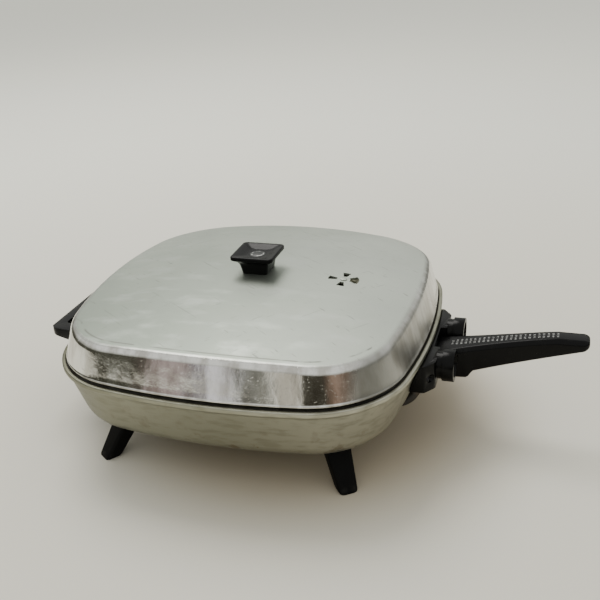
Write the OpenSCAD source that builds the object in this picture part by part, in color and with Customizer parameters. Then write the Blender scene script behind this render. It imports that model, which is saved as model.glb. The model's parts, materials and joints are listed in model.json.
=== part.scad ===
// Square cast-aluminium electric skillet: a domed lift-off lid with a steam vent, a long side
// handle between two terminal sockets, a looped helper handle and four splayed legs.
// The feet stand on z = 0, +X points to the tip of the long handle and +Z is up.
// Offsets named u run outwards from the rim's outline, which is four bowed sides and four
// round corners; every ring of the pan and the lid is a parallel of that outline.

/* [Pan] */
// Half of the pan's width across the rim, at the middle of its sides
pan_half = 146; // [142:1:152]
// Radius of the slightly bowed sides, seen from above
side_r = 490; // [420:10:700]
// Radius of the corners, seen from above
corner_r = 76; // [70:1:82]
// Height of the rim above the table
rim_z = 83; // [80:1:90]
// Height of the pan's underside above the table
floor_z = 33.5; // [31:0.5:36]
// Thickness of the pan's floor
floor_t = 4; // [3:0.5:5]
// Thickness of the pan's wall
wall_t = 3.4; // [2.6:0.2:4]
// Lean of the wall from upright, in degrees
wall_lean = 17.5; // [14:0.5:19]
// Outer radius of the edge between wall and floor
edge_r = 19; // [15:1:21]
// Height of the lip round the rim
lip_h = 4; // [3:0.5:5]
// How far the lip stands out from the wall
lip_w = 2.6; // [2:0.2:3.2]
// Width of the rim outside the lid's seat
rim_t = 3; // [2.4:0.2:3.6]
// Depth of the lid's seat below the rim
seat_d = 2.5; // [2:0.1:3.5]
// Width of the lid's seat
seat_w = 6; // [5.5:0.5:7]

/* [Heating element] */
// Radius of the sheathed element
element_r = 3.5; // [3:0.25:4]
// Half of the width of the element's loop
loop_half = 74; // [70:1:76]
// Radius of the loop's corners
loop_r = 24; // [20:1:28]
// Radius of the bends where the element's ends leave the loop
exit_r = 12; // [10:1:14]
// Width of the cast ribs under the floor
rib_w = 13; // [12:1:15]
// Depth of those ribs below the floor
rib_h = 6; // [5:0.5:7]
// Clearance between the element's ends and the pan
element_gap = 0.4; // [0.3:0.1:0.8]
// Radius of the pins in the element's ends
cold_pin_r = 1.5; // [1.2:0.1:1.8]

/* [Thermostat tube] */
// Inner radius of the tube that takes the heat control's probe
probe_r = 3.2; // [3.2:0.1:3.6]
// Thickness of the tube's wall
probe_t = 0.9; // [0.6:0.1:1.2]
// How far the tube reaches in under the pan from the rim
probe_in = 86; // [70:1:90]
// How far the tube's mouth lies inside the rim
probe_out = 10; // [6:1:16]

/* [Terminal sockets] */
// Distance of each socket from the middle of the long handle
socket_y = 28; // [27:0.5:31]
// Height of the sockets' middle above the table
socket_z = 69.5; // [68:0.5:71]
// Radius of a socket's collar
collar_r = 12.5; // [12:0.25:13.5]
// Length of a socket's collar
collar_l = 9; // [7:0.5:10]
// Radius of a socket behind its collar
barrel_r = 11; // [10.4:0.2:11.6]
// Radius of a socket's mouth
mouth_r = 9; // [8.6:0.1:9.6]
// How far the sockets stand out from the pan's side
socket_reach = 20; // [20:1:24]
// Radius of a terminal pin
pin_r = 2.4; // [2:0.1:2.6]
// Radius of the pin's shank, which passes through the plate
shank_r = 2; // [1.6:0.1:2.2]
// Length of a terminal pin from the plate's front
pin_l = 12; // [10:0.5:13]
// Half of the socket plate's length along the pan's side
plate_half = 51; // [50:1:56]
// How far the socket plate stands out from the pan's side
plate_t = 7; // [6.5:0.5:9]
// Height of the socket plate's lower edge above the table
plate_z = 56; // [54:1:57]
// Thickness of the socket plate's walls
plate_wall = 2.6; // [2.2:0.2:3]
// Radius of the ceramic bushes round the terminal pins
bush_r = 4.6; // [4.2:0.1:5.2]

/* [Long handle] */
// How far the handle's tip stands out from the pan's side
handle_reach = 117; // [100:1:140]
// Half of the handle's width at its root
handle_w_root = 16; // [15:0.5:16]
// Half of the handle's width at its tip
handle_w_tip = 9; // [7.5:0.5:11]
// Height of the handle's top at its root, above the table
handle_top = 72; // [71:0.5:75]
// How much the handle's top rises from root to tip
handle_rise = 17.6; // [10:0.2:26]
// Height of the handle's root block
handle_h_root = 21.5; // [20:0.5:24]
// Thickness of the handle just outside its root block
handle_h_neck = 21.5; // [18:0.5:24]
// Thickness of the handle's tip
handle_h_tip = 7.4; // [6.5:0.2:12]
// Length of the handle's root block
block_l = 24.5; // [22:0.5:30]
// Length of the cast lug that carries the handle
lug_l = 22; // [20:0.5:23]
// Half of the lug's width
lug_w = 6; // [5:0.5:7]
// Height of the lug
lug_h = 8; // [7:0.5:9]

/* [Helper handle] */
// How far the helper handle stands out from the pan's side
helper_reach = 31.3; // [29:0.1:42]
// Height of the helper handle's top above the table
helper_top = 78; // [76:0.5:78.5]
// Half of the helper handle's length along its outer edge
helper_half = 48.5; // [46:0.5:54]
// Half of its length beside the pan
helper_root_half = 56; // [52:1:60]
// Thickness of its outer edge
helper_t = 6; // [5:0.5:8]
// Thickness of it beside the pan
helper_t_root = 12; // [11:0.5:14]
// Width of the bar outside the finger slots
helper_bar = 10; // [8:0.5:12]
// Width of the flange between the finger slots and the pan
helper_flange = 7; // [6:0.5:8]
// Half of the width of the web between the slots
helper_web = 18; // [17:0.5:20]
// Distance of each slot's outer end from the middle
helper_slot = 37; // [34:0.5:40]
// How far the web's top lies below the handle's top
helper_dip = 1; // [0.4:0.2:1.4]

/* [Legs] */
// Place of a foot's middle to the side of the pan's middle
foot_x = 98.5; // [94:0.5:102]
// Place of a foot's middle in front of the pan's middle
foot_y = 107.5; // [102:0.5:110]
// Place of a leg's top to the side of the pan's middle
leg_x = 84; // [82:0.5:86]
// Place of a leg's top in front of the pan's middle
leg_y = 88; // [85:0.5:90]
// Width of a leg at its top
leg_w = 21; // [20:0.5:22]
// Width of a leg at its foot
foot_w = 14.5; // [13.5:0.5:17]
// Depth of a leg at its top
leg_d = 17; // [16:0.5:18]
// Depth of a leg at its foot
foot_d = 14; // [13.5:0.5:16]

/* [Lid] */
// Height of the lid's crown above the table
crown_z = 125.5; // [120:0.5:135]
// How much the crown drops from its middle to the middle of a side
crown_rise = 11; // [7:0.5:14]
// Thickness of the lid
lid_t = 1.4; // [1.2:0.1:1.8]
// How far the crown's edge lies inside the rim's outline
shoulder_in = 11.4; // [10:0.2:14]
// Length of the round between side and crown, along each of them
shoulder_r = 5.5; // [4:0.5:8]
// Height of the bead's underside above the rim
bead_up = 1.2; // [0.8:0.1:2]
// Height of the bead round the lid's edge
bead_h = 2.4; // [2:0.1:3]
// How far the bead lies inside the rim's outline
bead_in = 3.8; // [3.4:0.1:4.2]
// How far the side above the bead lies inside the bead
bead_w = 0.8; // [0.6:0.1:1.2]
// Clearance between the skirt and the rim's inside
skirt_gap = 3.5; // [3:0.1:3.6]

/* [Knob] */
// Half of the knob's width across its top
knob_half = 18; // [15:0.5:22]
// Half of the knob's width at its neck
knob_neck = 10.8; // [9.5:0.2:12]
// Height of the knob
knob_h = 16.5; // [15.5:0.5:22]
// Depth of the dish in the knob's top
knob_dish = 2.6; // [2:0.1:3]
// Radius of the plain disc let into the knob
disc_r = 6.6; // [5.5:0.1:7]
// Thickness of that disc
disc_t = 1.2; // [0.8:0.1:1.6]

/* [Steam vent] */
// Distance of the vent from the lid's middle
vent_x = 72; // [60:1:85]
// Inner radius of the vent's openings
vent_in = 5.3; // [5:0.1:6]
// Outer radius of the vent's openings
vent_out = 12.5; // [11:0.1:13.5]
// Angle of each narrow opening, in degrees
vent_a = 30; // [26:1:34]
// Angle that the shutter turns through, in degrees
vent_turn = 45; // [42:1:48]
// Radius of the shutter
shutter_r = 15.5; // [15:0.1:16.5]
// Thickness of the shutter
shutter_t = 0.8; // [0.6:0.1:1]
// Gap between the shutter and the lid
shutter_gap = 0.3; // [0.2:0.05:0.5]
// Height of the shutter's finger tab above the lid
tab_up = 1.4; // [0.6:0.1:3]

/* [Fastenings] */
// Radius of the screws that hold the long handle, the legs and the knob
screw_r = 2; // [1.8:0.1:2.2]
// Radius of those screws' heads
head_r = 3.8; // [3.4:0.1:4]
// Height of those screws' heads
head_h = 2.4; // [2:0.1:2.8]
// Radius of the small screws of the helper handle and the socket plate
small_r = 1.6; // [1.4:0.1:1.8]
// Radius of the small screws' heads
small_head_r = 3; // [2.8:0.1:3.3]
// Height of the small screws' heads
small_head_h = 1.8; // [1.5:0.1:2]
// Clearance round a screw, a pin or a tube in its hole
hole_gap = 0.1; // [0.05:0.05:0.2]
// Clearance between a moulding and the casting it fits on
fit_gap = 0.3; // [0.2:0.05:0.4]

/* [Hidden] */
$fn = 96;

phenolic = [0.09, 0.09, 0.10];
cast = [0.60, 0.60, 0.54];
steel = [0.72, 0.72, 0.74];

// The outline: a side's arc is centred at (side_c, 0) and a corner's at (corner_c, corner_c),
// and they meet side_a degrees either side of the side's middle
side_c = pan_half - side_r;
corner_c = (side_c + sqrt(2 * pow(side_r - corner_r, 2) - pow(side_c, 2))) / 2;
side_a = atan2(corner_c, corner_c - side_c);
// The part's origin is in the middle of its length, so the pan's middle lies off it
pan_x = (helper_reach - handle_reach) / 2;

// The pan's section
lean_t = tan(wall_lean);
lip_z = rim_z - lip_h;
wall_top_z = lip_z - 0.6 * lip_w;
bevel = 0.8;
seat_z = rim_z - seat_d;
seat_u = -rim_t - seat_w;
rib_z = seat_z - 9;
inner_r = edge_r - wall_t;
floor_top = floor_z + floor_t;
edge_c = edge_centre(edge_r, floor_z + edge_r, 0);
inner_c = edge_centre(inner_r, floor_top + inner_r, wall_t);
slab_u = inner_c[0] - 12;

// The element under the floor, and its ends up along the wall
element_z = floor_z - element_r - element_gap;
end_way = edge_r + element_gap + element_r;
bend_thin = 0.05;
bend_lap = 2.4;
cold_z = socket_z - 8;
cold_top = socket_z + 3.4;
tube_r = probe_r + probe_t;
tube_z = floor_z - tube_r - element_gap;
tube_rib_l = 50;

// The sockets
plate_x = pan_half + plate_t;
plate_top = lip_z - 0.5;
plate_mid = 1.8;
plate_end = 3;
socket_l = socket_reach - plate_t;
plate_back = 30;
hollow_half = 10.5;
bush_l = 5.2;
bush_flange = 1.6;
pin_back = 2;
link_half = 3.4;
plate_screw_y = plate_half - 5.5;
plate_screw_z = (plate_z + plate_top) / 2 - 1;
plate_boss_l = 6.5;
plate_boss_r = 4;

// The long handle's line, from its root to its tip
handle_x = pan_half + plate_mid;
handle_l = handle_reach - plate_mid;
block_z = handle_top - handle_h_root;
lug_z = block_z + 6.5;
tip_r = 5;
step_l = 6;
screw_near = 6.2;
screw_pitch = 9;

// The helper handle's lug
helper_x = -pan_half - helper_reach;
helper_lug_l = 14;
helper_lug_w = 14;
helper_lug_h = 3.6;
helper_lug_z = helper_top - helper_dip - 1.8 - helper_lug_h;
helper_screw_y = 8.5;
helper_screw_out = 8;

// The legs
leg_boss_r = 4.2;
leg_boss_l = 7;
leg_seat = 14;
leg_tilt = atan2(norm([foot_x - leg_x, foot_y - leg_y]), floor_z);
leg_turn = atan2(foot_y - leg_y, foot_x - leg_x);
leg_drop = floor_z / cos(leg_tilt);

// The lid's section and its crown, a shallow bowl turned over
lid_gap = 0.1;
bead_z = rim_z + bead_up;
skirt_u = -rim_t - skirt_gap;
lid_wall_z = bead_z + bead_h + 0.5;
lid_wall_u = -bead_in - bead_w;
crown_k = pow(pan_half - shoulder_in, 2) / crown_rise;
lid_sides = 8;
lid_corners = 12;

// The knob's fastening
knob_bore = 9.5;
washer_r = 5.5;
washer_t = 1;

// The vent lies in a frame of its own that is tangent to the crown
vent_z = crown_z - pow(vent_x, 2) / crown_k;
vent_tilt = atan(2 * vent_x / crown_k);
pad_z = -lid_t + 0.1;
rivet_r = 1.5;
rivet_gap = 0.06;
rivet_head_r = 2.8;
rivet_head_h = 0.7;
spring_t = 0.5;
tab_half = 0.8;
tab_in = 7.5;
tab_l = 3.6;
tab_a = 9;
slot_from = -22;

function turn(p, a) = [p[0] * cos(a) - p[1] * sin(a), p[0] * sin(a) + p[1] * cos(a)];
function mix(a, b, t) = a + (b - a) * t;
function total(v, i = 0) = i < len(v) ? v[i] + total(v, i + 1) : 0;
function middle(ring) = [for (k = [0:2]) total([for (p = ring) p[k]]) / len(ring)];
function arc(c, r, from, to, n) =
    [for (i = [0:n]) let (a = from + (to - from) * i / n) [c[0] + r * cos(a), c[1] + r * sin(a)]];
// Middle, at height z, of a round of radius r inside the leaning wall's outer face
function edge_centre(r, z, inset) =
    [-lip_w - (r + inset + sin(wall_lean) * (wall_top_z - z)) / cos(wall_lean), z];
// Outer face of the wall at height z, as an offset from the outline
function wall_u(z) = -lip_w - (wall_top_z - z) * lean_t;
// How far the outline's side draws back at a distance y from its middle
function bow(y) = side_r - sqrt(pow(side_r, 2) - y * y);
// Place along X of the element's end at a height on the wall
function lead_x(z) =
    pan_half - bow(socket_y) + edge_c[0] + end_way / cos(wall_lean) + (z - edge_c[1]) * lean_t;
// The outline moved outwards by u, as n points a side and m a corner, against the clock
function outline(u, n, m) = [for (q = [0:3]) each concat(
    [for (i = [0:n - 1]) let (a = side_a * (2 * i / n - 1))
        turn([side_c + (side_r + u) * cos(a), (side_r + u) * sin(a)], 90 * q)],
    [for (i = [0:m - 1]) let (a = side_a + (90 - 2 * side_a) * i / m)
        turn([corner_c + (corner_r + u) * cos(a), corner_c + (corner_r + u) * sin(a)], 90 * q)])];
// A rectangle of half-widths a and b with corners of radius r, each corner k + 1 points
function round_box(a, b, r, k) = [for (q = [0:3]) let (
        sx = (q == 0 || q == 3) ? 1 : -1,
        sy = q < 2 ? 1 : -1)
    each arc([sx * (a - r), sy * (b - r)], r, 90 * q, 90 * q + 90, k)];

// A closed skin over rings of equal length, each turning against the clock seen from the next
module skin(rings) {
    n = len(rings[0]);
    m = len(rings);
    points = concat([for (ring = rings) each ring], [middle(rings[0]), middle(rings[m - 1])]);
    sides = [for (j = [0:m - 2], i = [0:n - 1]) let (
            a = j * n + i,
            b = j * n + (i + 1) % n)
        each [[a, a + n, b + n], [a, b + n, b]]];
    first = [for (i = [0:n - 1]) [m * n, i, (i + 1) % n]];
    last = [for (i = [0:n - 1]) [m * n + 1, (m - 1) * n + (i + 1) % n, (m - 1) * n + i]];
    polyhedron(points, concat(sides, first, last));
}

// Places what is drawn about the pan's middle in the part's frame
module at_pan() {
    translate([pan_x, 0, 0]) children();
}

// Sweeps a profile of offsets and heights along the +X side of the outline
module along_side() {
    translate([side_c, 0, 0])
        rotate([0, 0, -side_a])
            rotate_extrude(angle = 2 * side_a)
                translate([side_r, 0]) children();
}

// Sweeps such a profile all round the outline
module all_round() {
    for (q = [0:3]) {
        rotate([0, 0, 90 * q]) {
            along_side() children();
            translate([corner_c, corner_c, 0])
                rotate([0, 0, side_a])
                    rotate_extrude(angle = 90 - 2 * side_a)
                        translate([corner_r, 0]) children();
        }
    }
}

// The pan's wall in section, from the rim to the outer part of the floor
module pan_section() {
    polygon(concat(
        [[-bevel, rim_z], [-rim_t + 0.4, rim_z], [-rim_t, rim_z - 0.4], [-rim_t, seat_z],
         [seat_u, seat_z], [seat_u, seat_z - 5], [wall_u(rib_z) - wall_t / cos(wall_lean), rib_z]],
        arc(inner_c, inner_r, -wall_lean, -90, 8),
        [[slab_u, floor_top], [slab_u, floor_z]],
        arc(edge_c, edge_r, -90, -wall_lean, 10),
        [[-lip_w, wall_top_z], [-bevel, lip_z], [0, lip_z + bevel], [0, rim_z - bevel]]));
}

// What the pan takes up along its +X side, grown by a clearance
module pan_envelope(gap) {
    along_side()
        polygon(concat(
            [[-80, floor_z - gap]],
            arc(edge_c, edge_r + gap, -90, -wall_lean, 10),
            [[-lip_w + gap, wall_top_z], [-bevel + gap, lip_z - gap], [gap, lip_z + bevel - gap],
             [gap, rim_z + 5], [-80, rim_z + 5]]));
}

// One straight stretch from a to b, in plan, of a profile of offsets and heights
module run(a, b) {
    translate([a[0], a[1], 0])
        rotate([0, 0, atan2(b[1] - a[1], b[0] - a[0])])
            rotate([90, 0, 90])
                linear_extrude(norm(b - a)) children();
}

// One bend of it about c, from one angle to another
module bend(c, r, from, to) {
    translate([c[0], c[1], 0])
        rotate([0, 0, from])
            rotate_extrude(angle = to - from)
                translate([r, 0]) children();
}

// The element's loop under the floor, open towards the long handle
module loop() {
    h = loop_half;
    k = loop_half - loop_r;
    e = socket_y + exit_r;
    run([h, -e], [h, -k]) children();
    bend([k, -k], loop_r, 270, 360) children();
    run([k, -h], [-k, -h]) children();
    bend([-k, -k], loop_r, 180, 270) children();
    run([-h, -k], [-h, k]) children();
    bend([-k, k], loop_r, 90, 180) children();
    run([-k, h], [k, h]) children();
    bend([k, k], loop_r, 0, 90) children();
    run([h, k], [h, e]) children();
    bend([h + exit_r, e], exit_r, 180, 270) children();
    bend([h + exit_r, -e], exit_r, 90, 180) children();
}

// Both ends of the element: out under the floor, round the pan's edge and up along its wall,
// where the tube is drawn a little thinner by its bend and runs into both straights
module element_ends(r, top) {
    out = loop_half + exit_r;
    edge = pan_half - bow(socket_y) + edge_c[0];
    foot = [edge + end_way * cos(wall_lean), edge_c[1] - end_way * sin(wall_lean)];
    for (y = [-socket_y, socket_y]) {
        translate([0, y, 0])
            rotate([90, 0, 0]) {
                run([out, element_z], [edge, element_z]) circle(r = r);
                bend([edge, edge_c[1]], end_way, 270 - bend_lap, 360 - wall_lean + bend_lap)
                    circle(r = r - bend_thin);
                run(foot, [foot[0] + (top - foot[1]) * lean_t, top]) circle(r = r);
            }
    }
}

// A screw along +Z whose head's seat is at z = 0
module screw(r, l, hr, hh) {
    cylinder(r = r, h = l);
    difference() {
        translate([0, 0, -hh]) cylinder(r = hr, h = hh);
        translate([-hr, -0.5, -hh - 1]) cube([2 * hr, 1, 1.8]);
    }
}

// Where the sockets' axes leave the plate's front, pointing along +X
module at_sockets() {
    for (y = [-socket_y, socket_y]) {
        translate([plate_x, y, socket_z]) rotate([0, 90, 0]) children();
    }
}

// Where the plate's screws seat, pointing in towards the pan
module at_plate_screws() {
    for (y = [-plate_screw_y, plate_screw_y]) {
        translate([pan_half - bow(plate_screw_y) + wall_u(plate_screw_z) + plate_boss_l + 2.6, y, plate_screw_z])
            rotate([0, -90, 0]) children();
    }
}

// Where the long handle's screws seat, pointing up
module at_handle_screws() {
    for (k = [0, 1]) {
        translate([handle_x + screw_near + k * screw_pitch, 0, block_z + head_h + 0.6]) children();
    }
}

// Where the helper handle's screws seat, pointing up
module at_helper_screws() {
    under = mix(helper_t_root, helper_t, helper_screw_out / helper_reach);
    for (y = [-helper_screw_y, helper_screw_y]) {
        translate([-pan_half - helper_screw_out, y, helper_top - under + small_head_h + 0.4])
            children();
    }
}

// A leg's own line, down from its top to the foot
module leg_axis(sx, sy) {
    mirror([sx < 0 ? 1 : 0, 0, 0])
        mirror([0, sy < 0 ? 1 : 0, 0])
            translate([leg_x, leg_y, floor_z])
                rotate([0, 0, leg_turn])
                    rotate([0, 180 - leg_tilt, 0]) children();
}

// The vent's frame, with the crown's surface at z = 0
module at_vent() {
    translate([vent_x, 0, vent_z]) rotate([0, vent_tilt, 0]) children();
}

module pan() {
    color(cast)
        at_pan()
            difference() {
                union() {
                    all_round() pan_section();
                    translate([0, 0, floor_z])
                        linear_extrude(floor_t) polygon(outline(slab_u + 5, 4, 6));
                    loop() translate([-rib_w / 2, floor_z - rib_h]) square([rib_w, rib_h + 1]);
                    translate([pan_half - probe_in, -rib_w / 2, floor_z - rib_h])
                        cube([tube_rib_l, rib_w, rib_h + 1]);
                    for (sx = [-1, 1], sy = [-1, 1]) {
                        leg_axis(sx, sy)
                            translate([0, 0, -2]) cylinder(r = leg_boss_r, h = leg_boss_l + 2);
                    }
                    translate([pan_half + wall_u(lug_z) - wall_t + 1, -lug_w, lug_z])
                        cube([lug_l - wall_u(lug_z) + wall_t - 1, 2 * lug_w, lug_h]);
                    translate([-pan_half - helper_lug_l, -helper_lug_w, helper_lug_z])
                        cube([helper_lug_l + lip_w + 3, 2 * helper_lug_w, helper_lug_h]);
                    at_plate_screws()
                        translate([0, 0, 2.6]) cylinder(r = plate_boss_r, h = plate_boss_l + 2);
                }
                loop() translate([0, element_z]) circle(r = element_r + hole_gap);
                translate([pan_half - probe_in - 1, 0, tube_z])
                    rotate([0, 90, 0]) cylinder(r = tube_r + hole_gap, h = probe_in);
                for (sx = [-1, 1], sy = [-1, 1]) {
                    leg_axis(sx, sy)
                        translate([0, 0, 1]) cylinder(r = screw_r + hole_gap, h = leg_boss_l);
                }
                at_handle_screws() cylinder(r = screw_r + hole_gap, h = 20);
                at_helper_screws() cylinder(r = small_r + hole_gap, h = 6.8);
                at_plate_screws() cylinder(r = small_r + hole_gap, h = plate_boss_l + 2);
            }
}

module heating_element() {
    color([0.42, 0.40, 0.38])
        at_pan() {
            loop() translate([0, element_z]) circle(r = element_r);
            element_ends(element_r, cold_z);
            for (y = [-socket_y, socket_y]) {
                translate([lead_x(cold_z - 2), y, cold_z - 2])
                    rotate([0, wall_lean, 0])
                        cylinder(r = cold_pin_r, h = (cold_top - cold_z + 2) / cos(wall_lean));
            }
        }
}

module thermostat_tube() {
    color(steel)
        at_pan()
            translate([pan_half - probe_in, 0, tube_z])
                rotate([0, 90, 0])
                    difference() {
                        cylinder(r = tube_r, h = probe_in - probe_out);
                        translate([0, 0, probe_t]) cylinder(r = probe_r, h = probe_in);
                    }
}

// Plan of the socket plate's front, from the handle's root to the plate's ends
module plate_plan() {
    root = handle_w_root + fit_gap;
    half = [
        [handle_x, 0], [handle_x, root], [plate_x - 1, root + 0.4], [plate_x, root + 1.4],
        [plate_x, plate_half - 10], [plate_x - 1.2, plate_half - 8],
        [pan_half - bow(plate_half) + plate_end, plate_half - 0.6],
        [pan_half - bow(plate_half) + plate_end - 1, plate_half],
    ];
    polygon(concat(
        [[pan_half - plate_back, plate_half]],
        [for (i = [len(half) - 1:-1:0]) half[i]],
        [for (i = [1:len(half) - 1]) [half[i][0], -half[i][1]]],
        [[pan_half - plate_back, -plate_half]]));
}

module socket_plate() {
    hollow_z = plate_z + plate_wall;
    color(phenolic)
        at_pan()
            difference() {
                union() {
                    translate([0, 0, plate_z]) linear_extrude(plate_top - plate_z) plate_plan();
                    at_sockets() {
                        translate([0, 0, -1]) cylinder(r = barrel_r, h = socket_l + 1);
                        translate([0, 0, socket_l - collar_l]) cylinder(r = collar_r, h = collar_l);
                    }
                }
                pan_envelope(fit_gap);
                at_sockets() {
                    cylinder(r = mouth_r, h = socket_l + 1);
                    translate([0, 0, -plate_wall - 1])
                        cylinder(r = bush_r + hole_gap, h = plate_wall + 2);
                }
                for (y = [-socket_y, socket_y]) {
                    translate([pan_half - 20, y - hollow_half, hollow_z])
                        cube([20 + plate_t - plate_wall, 2 * hollow_half, plate_top - plate_wall - hollow_z]);
                }
                element_ends(element_r + fit_gap, cold_z + 4);
                translate([pan_half - 20, -lug_w - fit_gap, lug_z - fit_gap])
                    cube([40, 2 * (lug_w + fit_gap), lug_h + 2 * fit_gap]);
                at_plate_screws() {
                    cylinder(r = small_r + hole_gap, h = 20);
                    translate([0, 0, -20]) cylinder(r = small_head_r + fit_gap, h = 20);
                    translate([0, 0, 2.6 - fit_gap]) cylinder(r = plate_boss_r + fit_gap, h = 20);
                }
            }
}

module socket_screws() {
    color(steel)
        at_pan()
            at_plate_screws() screw(small_r, plate_boss_l + 1.4, small_head_r, small_head_h);
}

module terminal_bushes() {
    color([0.90, 0.88, 0.82])
        at_pan()
            at_sockets()
                difference() {
                    union() {
                        translate([0, 0, -plate_wall - bush_flange])
                            cylinder(r = bush_r, h = bush_l + bush_flange);
                        translate([0, 0, -plate_wall - bush_flange])
                            cylinder(r = bush_r + 1.8, h = bush_flange);
                    }
                    translate([0, 0, -10]) cylinder(r = shank_r + hole_gap, h = 30);
                }
}

module terminal_pins() {
    color(steel)
        at_pan()
            at_sockets() {
                translate([0, 0, -plate_wall - bush_flange - pin_back])
                    cylinder(r = shank_r, h = bush_l + bush_flange + pin_back + 1);
                translate([0, 0, bush_l - plate_wall])
                    cylinder(r = pin_r, h = pin_l - pin_r - bush_l + plate_wall);
                translate([0, 0, pin_l - pin_r]) sphere(r = pin_r);
            }
}

module lead_connectors() {
    back = plate_x - plate_wall - bush_flange;
    low = socket_z - link_half;
    color([0.78, 0.70, 0.45])
        at_pan()
            for (y = [-socket_y, socket_y]) {
                difference() {
                    union() {
                        translate([lead_x(low), y, low])
                            rotate([0, wall_lean, 0])
                                cylinder(r = link_half, h = 2 * link_half / cos(wall_lean));
                        translate([lead_x(socket_z), y - link_half, low])
                            cube([back - lead_x(socket_z), 2 * link_half, 2 * link_half]);
                    }
                    translate([lead_x(cold_z - 2), y, cold_z - 2])
                        rotate([0, wall_lean, 0]) cylinder(r = cold_pin_r + hole_gap, h = 20);
                    translate([back - pin_back - hole_gap, y, socket_z])
                        rotate([0, 90, 0]) cylinder(r = shank_r + hole_gap, h = 5);
                }
            }
}

// Height of the long handle's top at a distance x from its root
function handle_over(x) =
    let (s = min(1, x / (0.8 * handle_l))) handle_top + handle_rise * (1 - pow(1 - s, 1.15));
// Height of its underside there: level under the root block, then straight up to the tip
function handle_under(x) =
    let (
        from = block_l + step_l,
        neck = handle_over(from) - handle_h_neck,
        tip = handle_over(handle_l) - handle_h_tip,
        line = mix(neck, tip, (x - from) / (handle_l - from)))
    x < block_l ? block_z : x < from ? mix(block_z, neck, (x - block_l) / step_l) : line;
// One ring of the handle's skin, drawn in by cut where the tip is round
function handle_ring(x, cut) =
    let (
        w = mix(handle_w_tip, handle_w_root, pow(1 - x / handle_l, 2.7)) - cut,
        over = handle_over(x) - 0.5 * cut,
        under = handle_under(x) + 0.5 * cut)
    [for (p = round_box(w, (over - under) / 2, min(3, (over - under) / 2 - 0.2), 4))
        [handle_x + x, p[0], p[1] + (over + under) / 2]];

module long_handle() {
    straight = [0, 4, 8, 12, 16, 20, block_l, block_l + step_l / 2, block_l + step_l];
    last = handle_l - tip_r;
    from = block_l + step_l;
    rings = concat(
        [for (x = straight) handle_ring(x, 0)],
        [for (i = [1:12]) handle_ring(mix(from, last, i / 12), 0)],
        [for (a = [18:18:90]) handle_ring(last + tip_r * sin(a), tip_r * (1 - cos(a)))]);
    color(phenolic)
        at_pan()
            difference() {
                skin(rings);
                translate([handle_x - 1, -lug_w - fit_gap, lug_z - fit_gap])
                    cube([lug_l - plate_mid + fit_gap + 1, 2 * (lug_w + fit_gap), lug_h + 2 * fit_gap]);
                at_handle_screws() {
                    cylinder(r = screw_r + hole_gap, h = 7);
                    translate([0, 0, -5]) cylinder(r = head_r + fit_gap, h = 5);
                }
            }
}

module handle_screws() {
    color(steel)
        at_pan()
            at_handle_screws() screw(screw_r, lug_z + lug_h - block_z - head_h - 1.2, head_r, head_h);
}

// Plan of the helper handle
module helper_plan() {
    root = -pan_half + 6;
    half = concat(
        [[root, 0], [root, helper_root_half], [-pan_half - 0.5, helper_root_half],
         [-pan_half - 2.4, helper_root_half - 1], [-pan_half - 5, helper_half + 3.2],
         [-pan_half - 9, helper_half + 1.2]],
        arc([helper_x + 9, helper_half - 9], 9, 90, 180, 8));
    polygon(concat(half, [for (i = [len(half) - 1:-1:1]) [half[i][0], -half[i][1]]]));
}

module helper_handle() {
    slot_l = helper_reach - helper_bar - helper_flange;
    slot_w = helper_slot - helper_web;
    color(phenolic)
        at_pan()
            difference() {
                intersection() {
                    translate([0, 0, helper_top - helper_t_root])
                        linear_extrude(helper_t_root) helper_plan();
                    translate([0, 80, 0])
                        rotate([90, 0, 0])
                            linear_extrude(160)
                                polygon([
                                    [helper_x, helper_top - 1], [helper_x, helper_top - helper_t + 1],
                                    [helper_x + 1, helper_top - helper_t],
                                    [-pan_half, helper_top - helper_t_root],
                                    [-pan_half + 20, helper_top - helper_t_root],
                                    [-pan_half + 20, helper_top], [helper_x + 1, helper_top],
                                ]);
                }
                rotate([0, 0, 180]) pan_envelope(fit_gap);
                for (y = [-helper_web - slot_w / 2, helper_web + slot_w / 2]) {
                    translate([helper_x + helper_bar + slot_l / 2, y, helper_top - 20])
                        linear_extrude(30) polygon(round_box(slot_l / 2, slot_w / 2, 3.5, 4));
                }
                translate([helper_x + helper_bar, -helper_web - 1, helper_top - helper_dip])
                    cube([slot_l, 2 * helper_web + 2, 5]);
                translate([-pan_half - helper_lug_l - fit_gap, -helper_lug_w - fit_gap, helper_lug_z - fit_gap])
                    cube([helper_lug_l + 30, 2 * (helper_lug_w + fit_gap), helper_lug_h + 2 * fit_gap]);
                at_helper_screws() {
                    cylinder(r = small_r + hole_gap, h = 6.8);
                    translate([0, 0, -5]) cylinder(r = small_head_r + fit_gap, h = 5);
                }
            }
}

module helper_screws() {
    color(steel)
        at_pan()
            at_helper_screws() screw(small_r, 6.4, small_head_r, small_head_h);
}

// One ring of a leg at height z, drawn in by cut
function leg_ring(z, cut) =
    let (
        t = z / floor_z,
        x = mix(foot_x, leg_x, t),
        y = mix(foot_y, leg_y, t),
        d = mix(foot_d, leg_d, t) / 2 - cut,
        w = mix(foot_w, leg_w, t) / 2 - cut)
    [for (p = round_box(d, w, 3.2, 4)) let (q = turn(p, leg_turn)) [x + q[0], y + q[1], z]];

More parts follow.
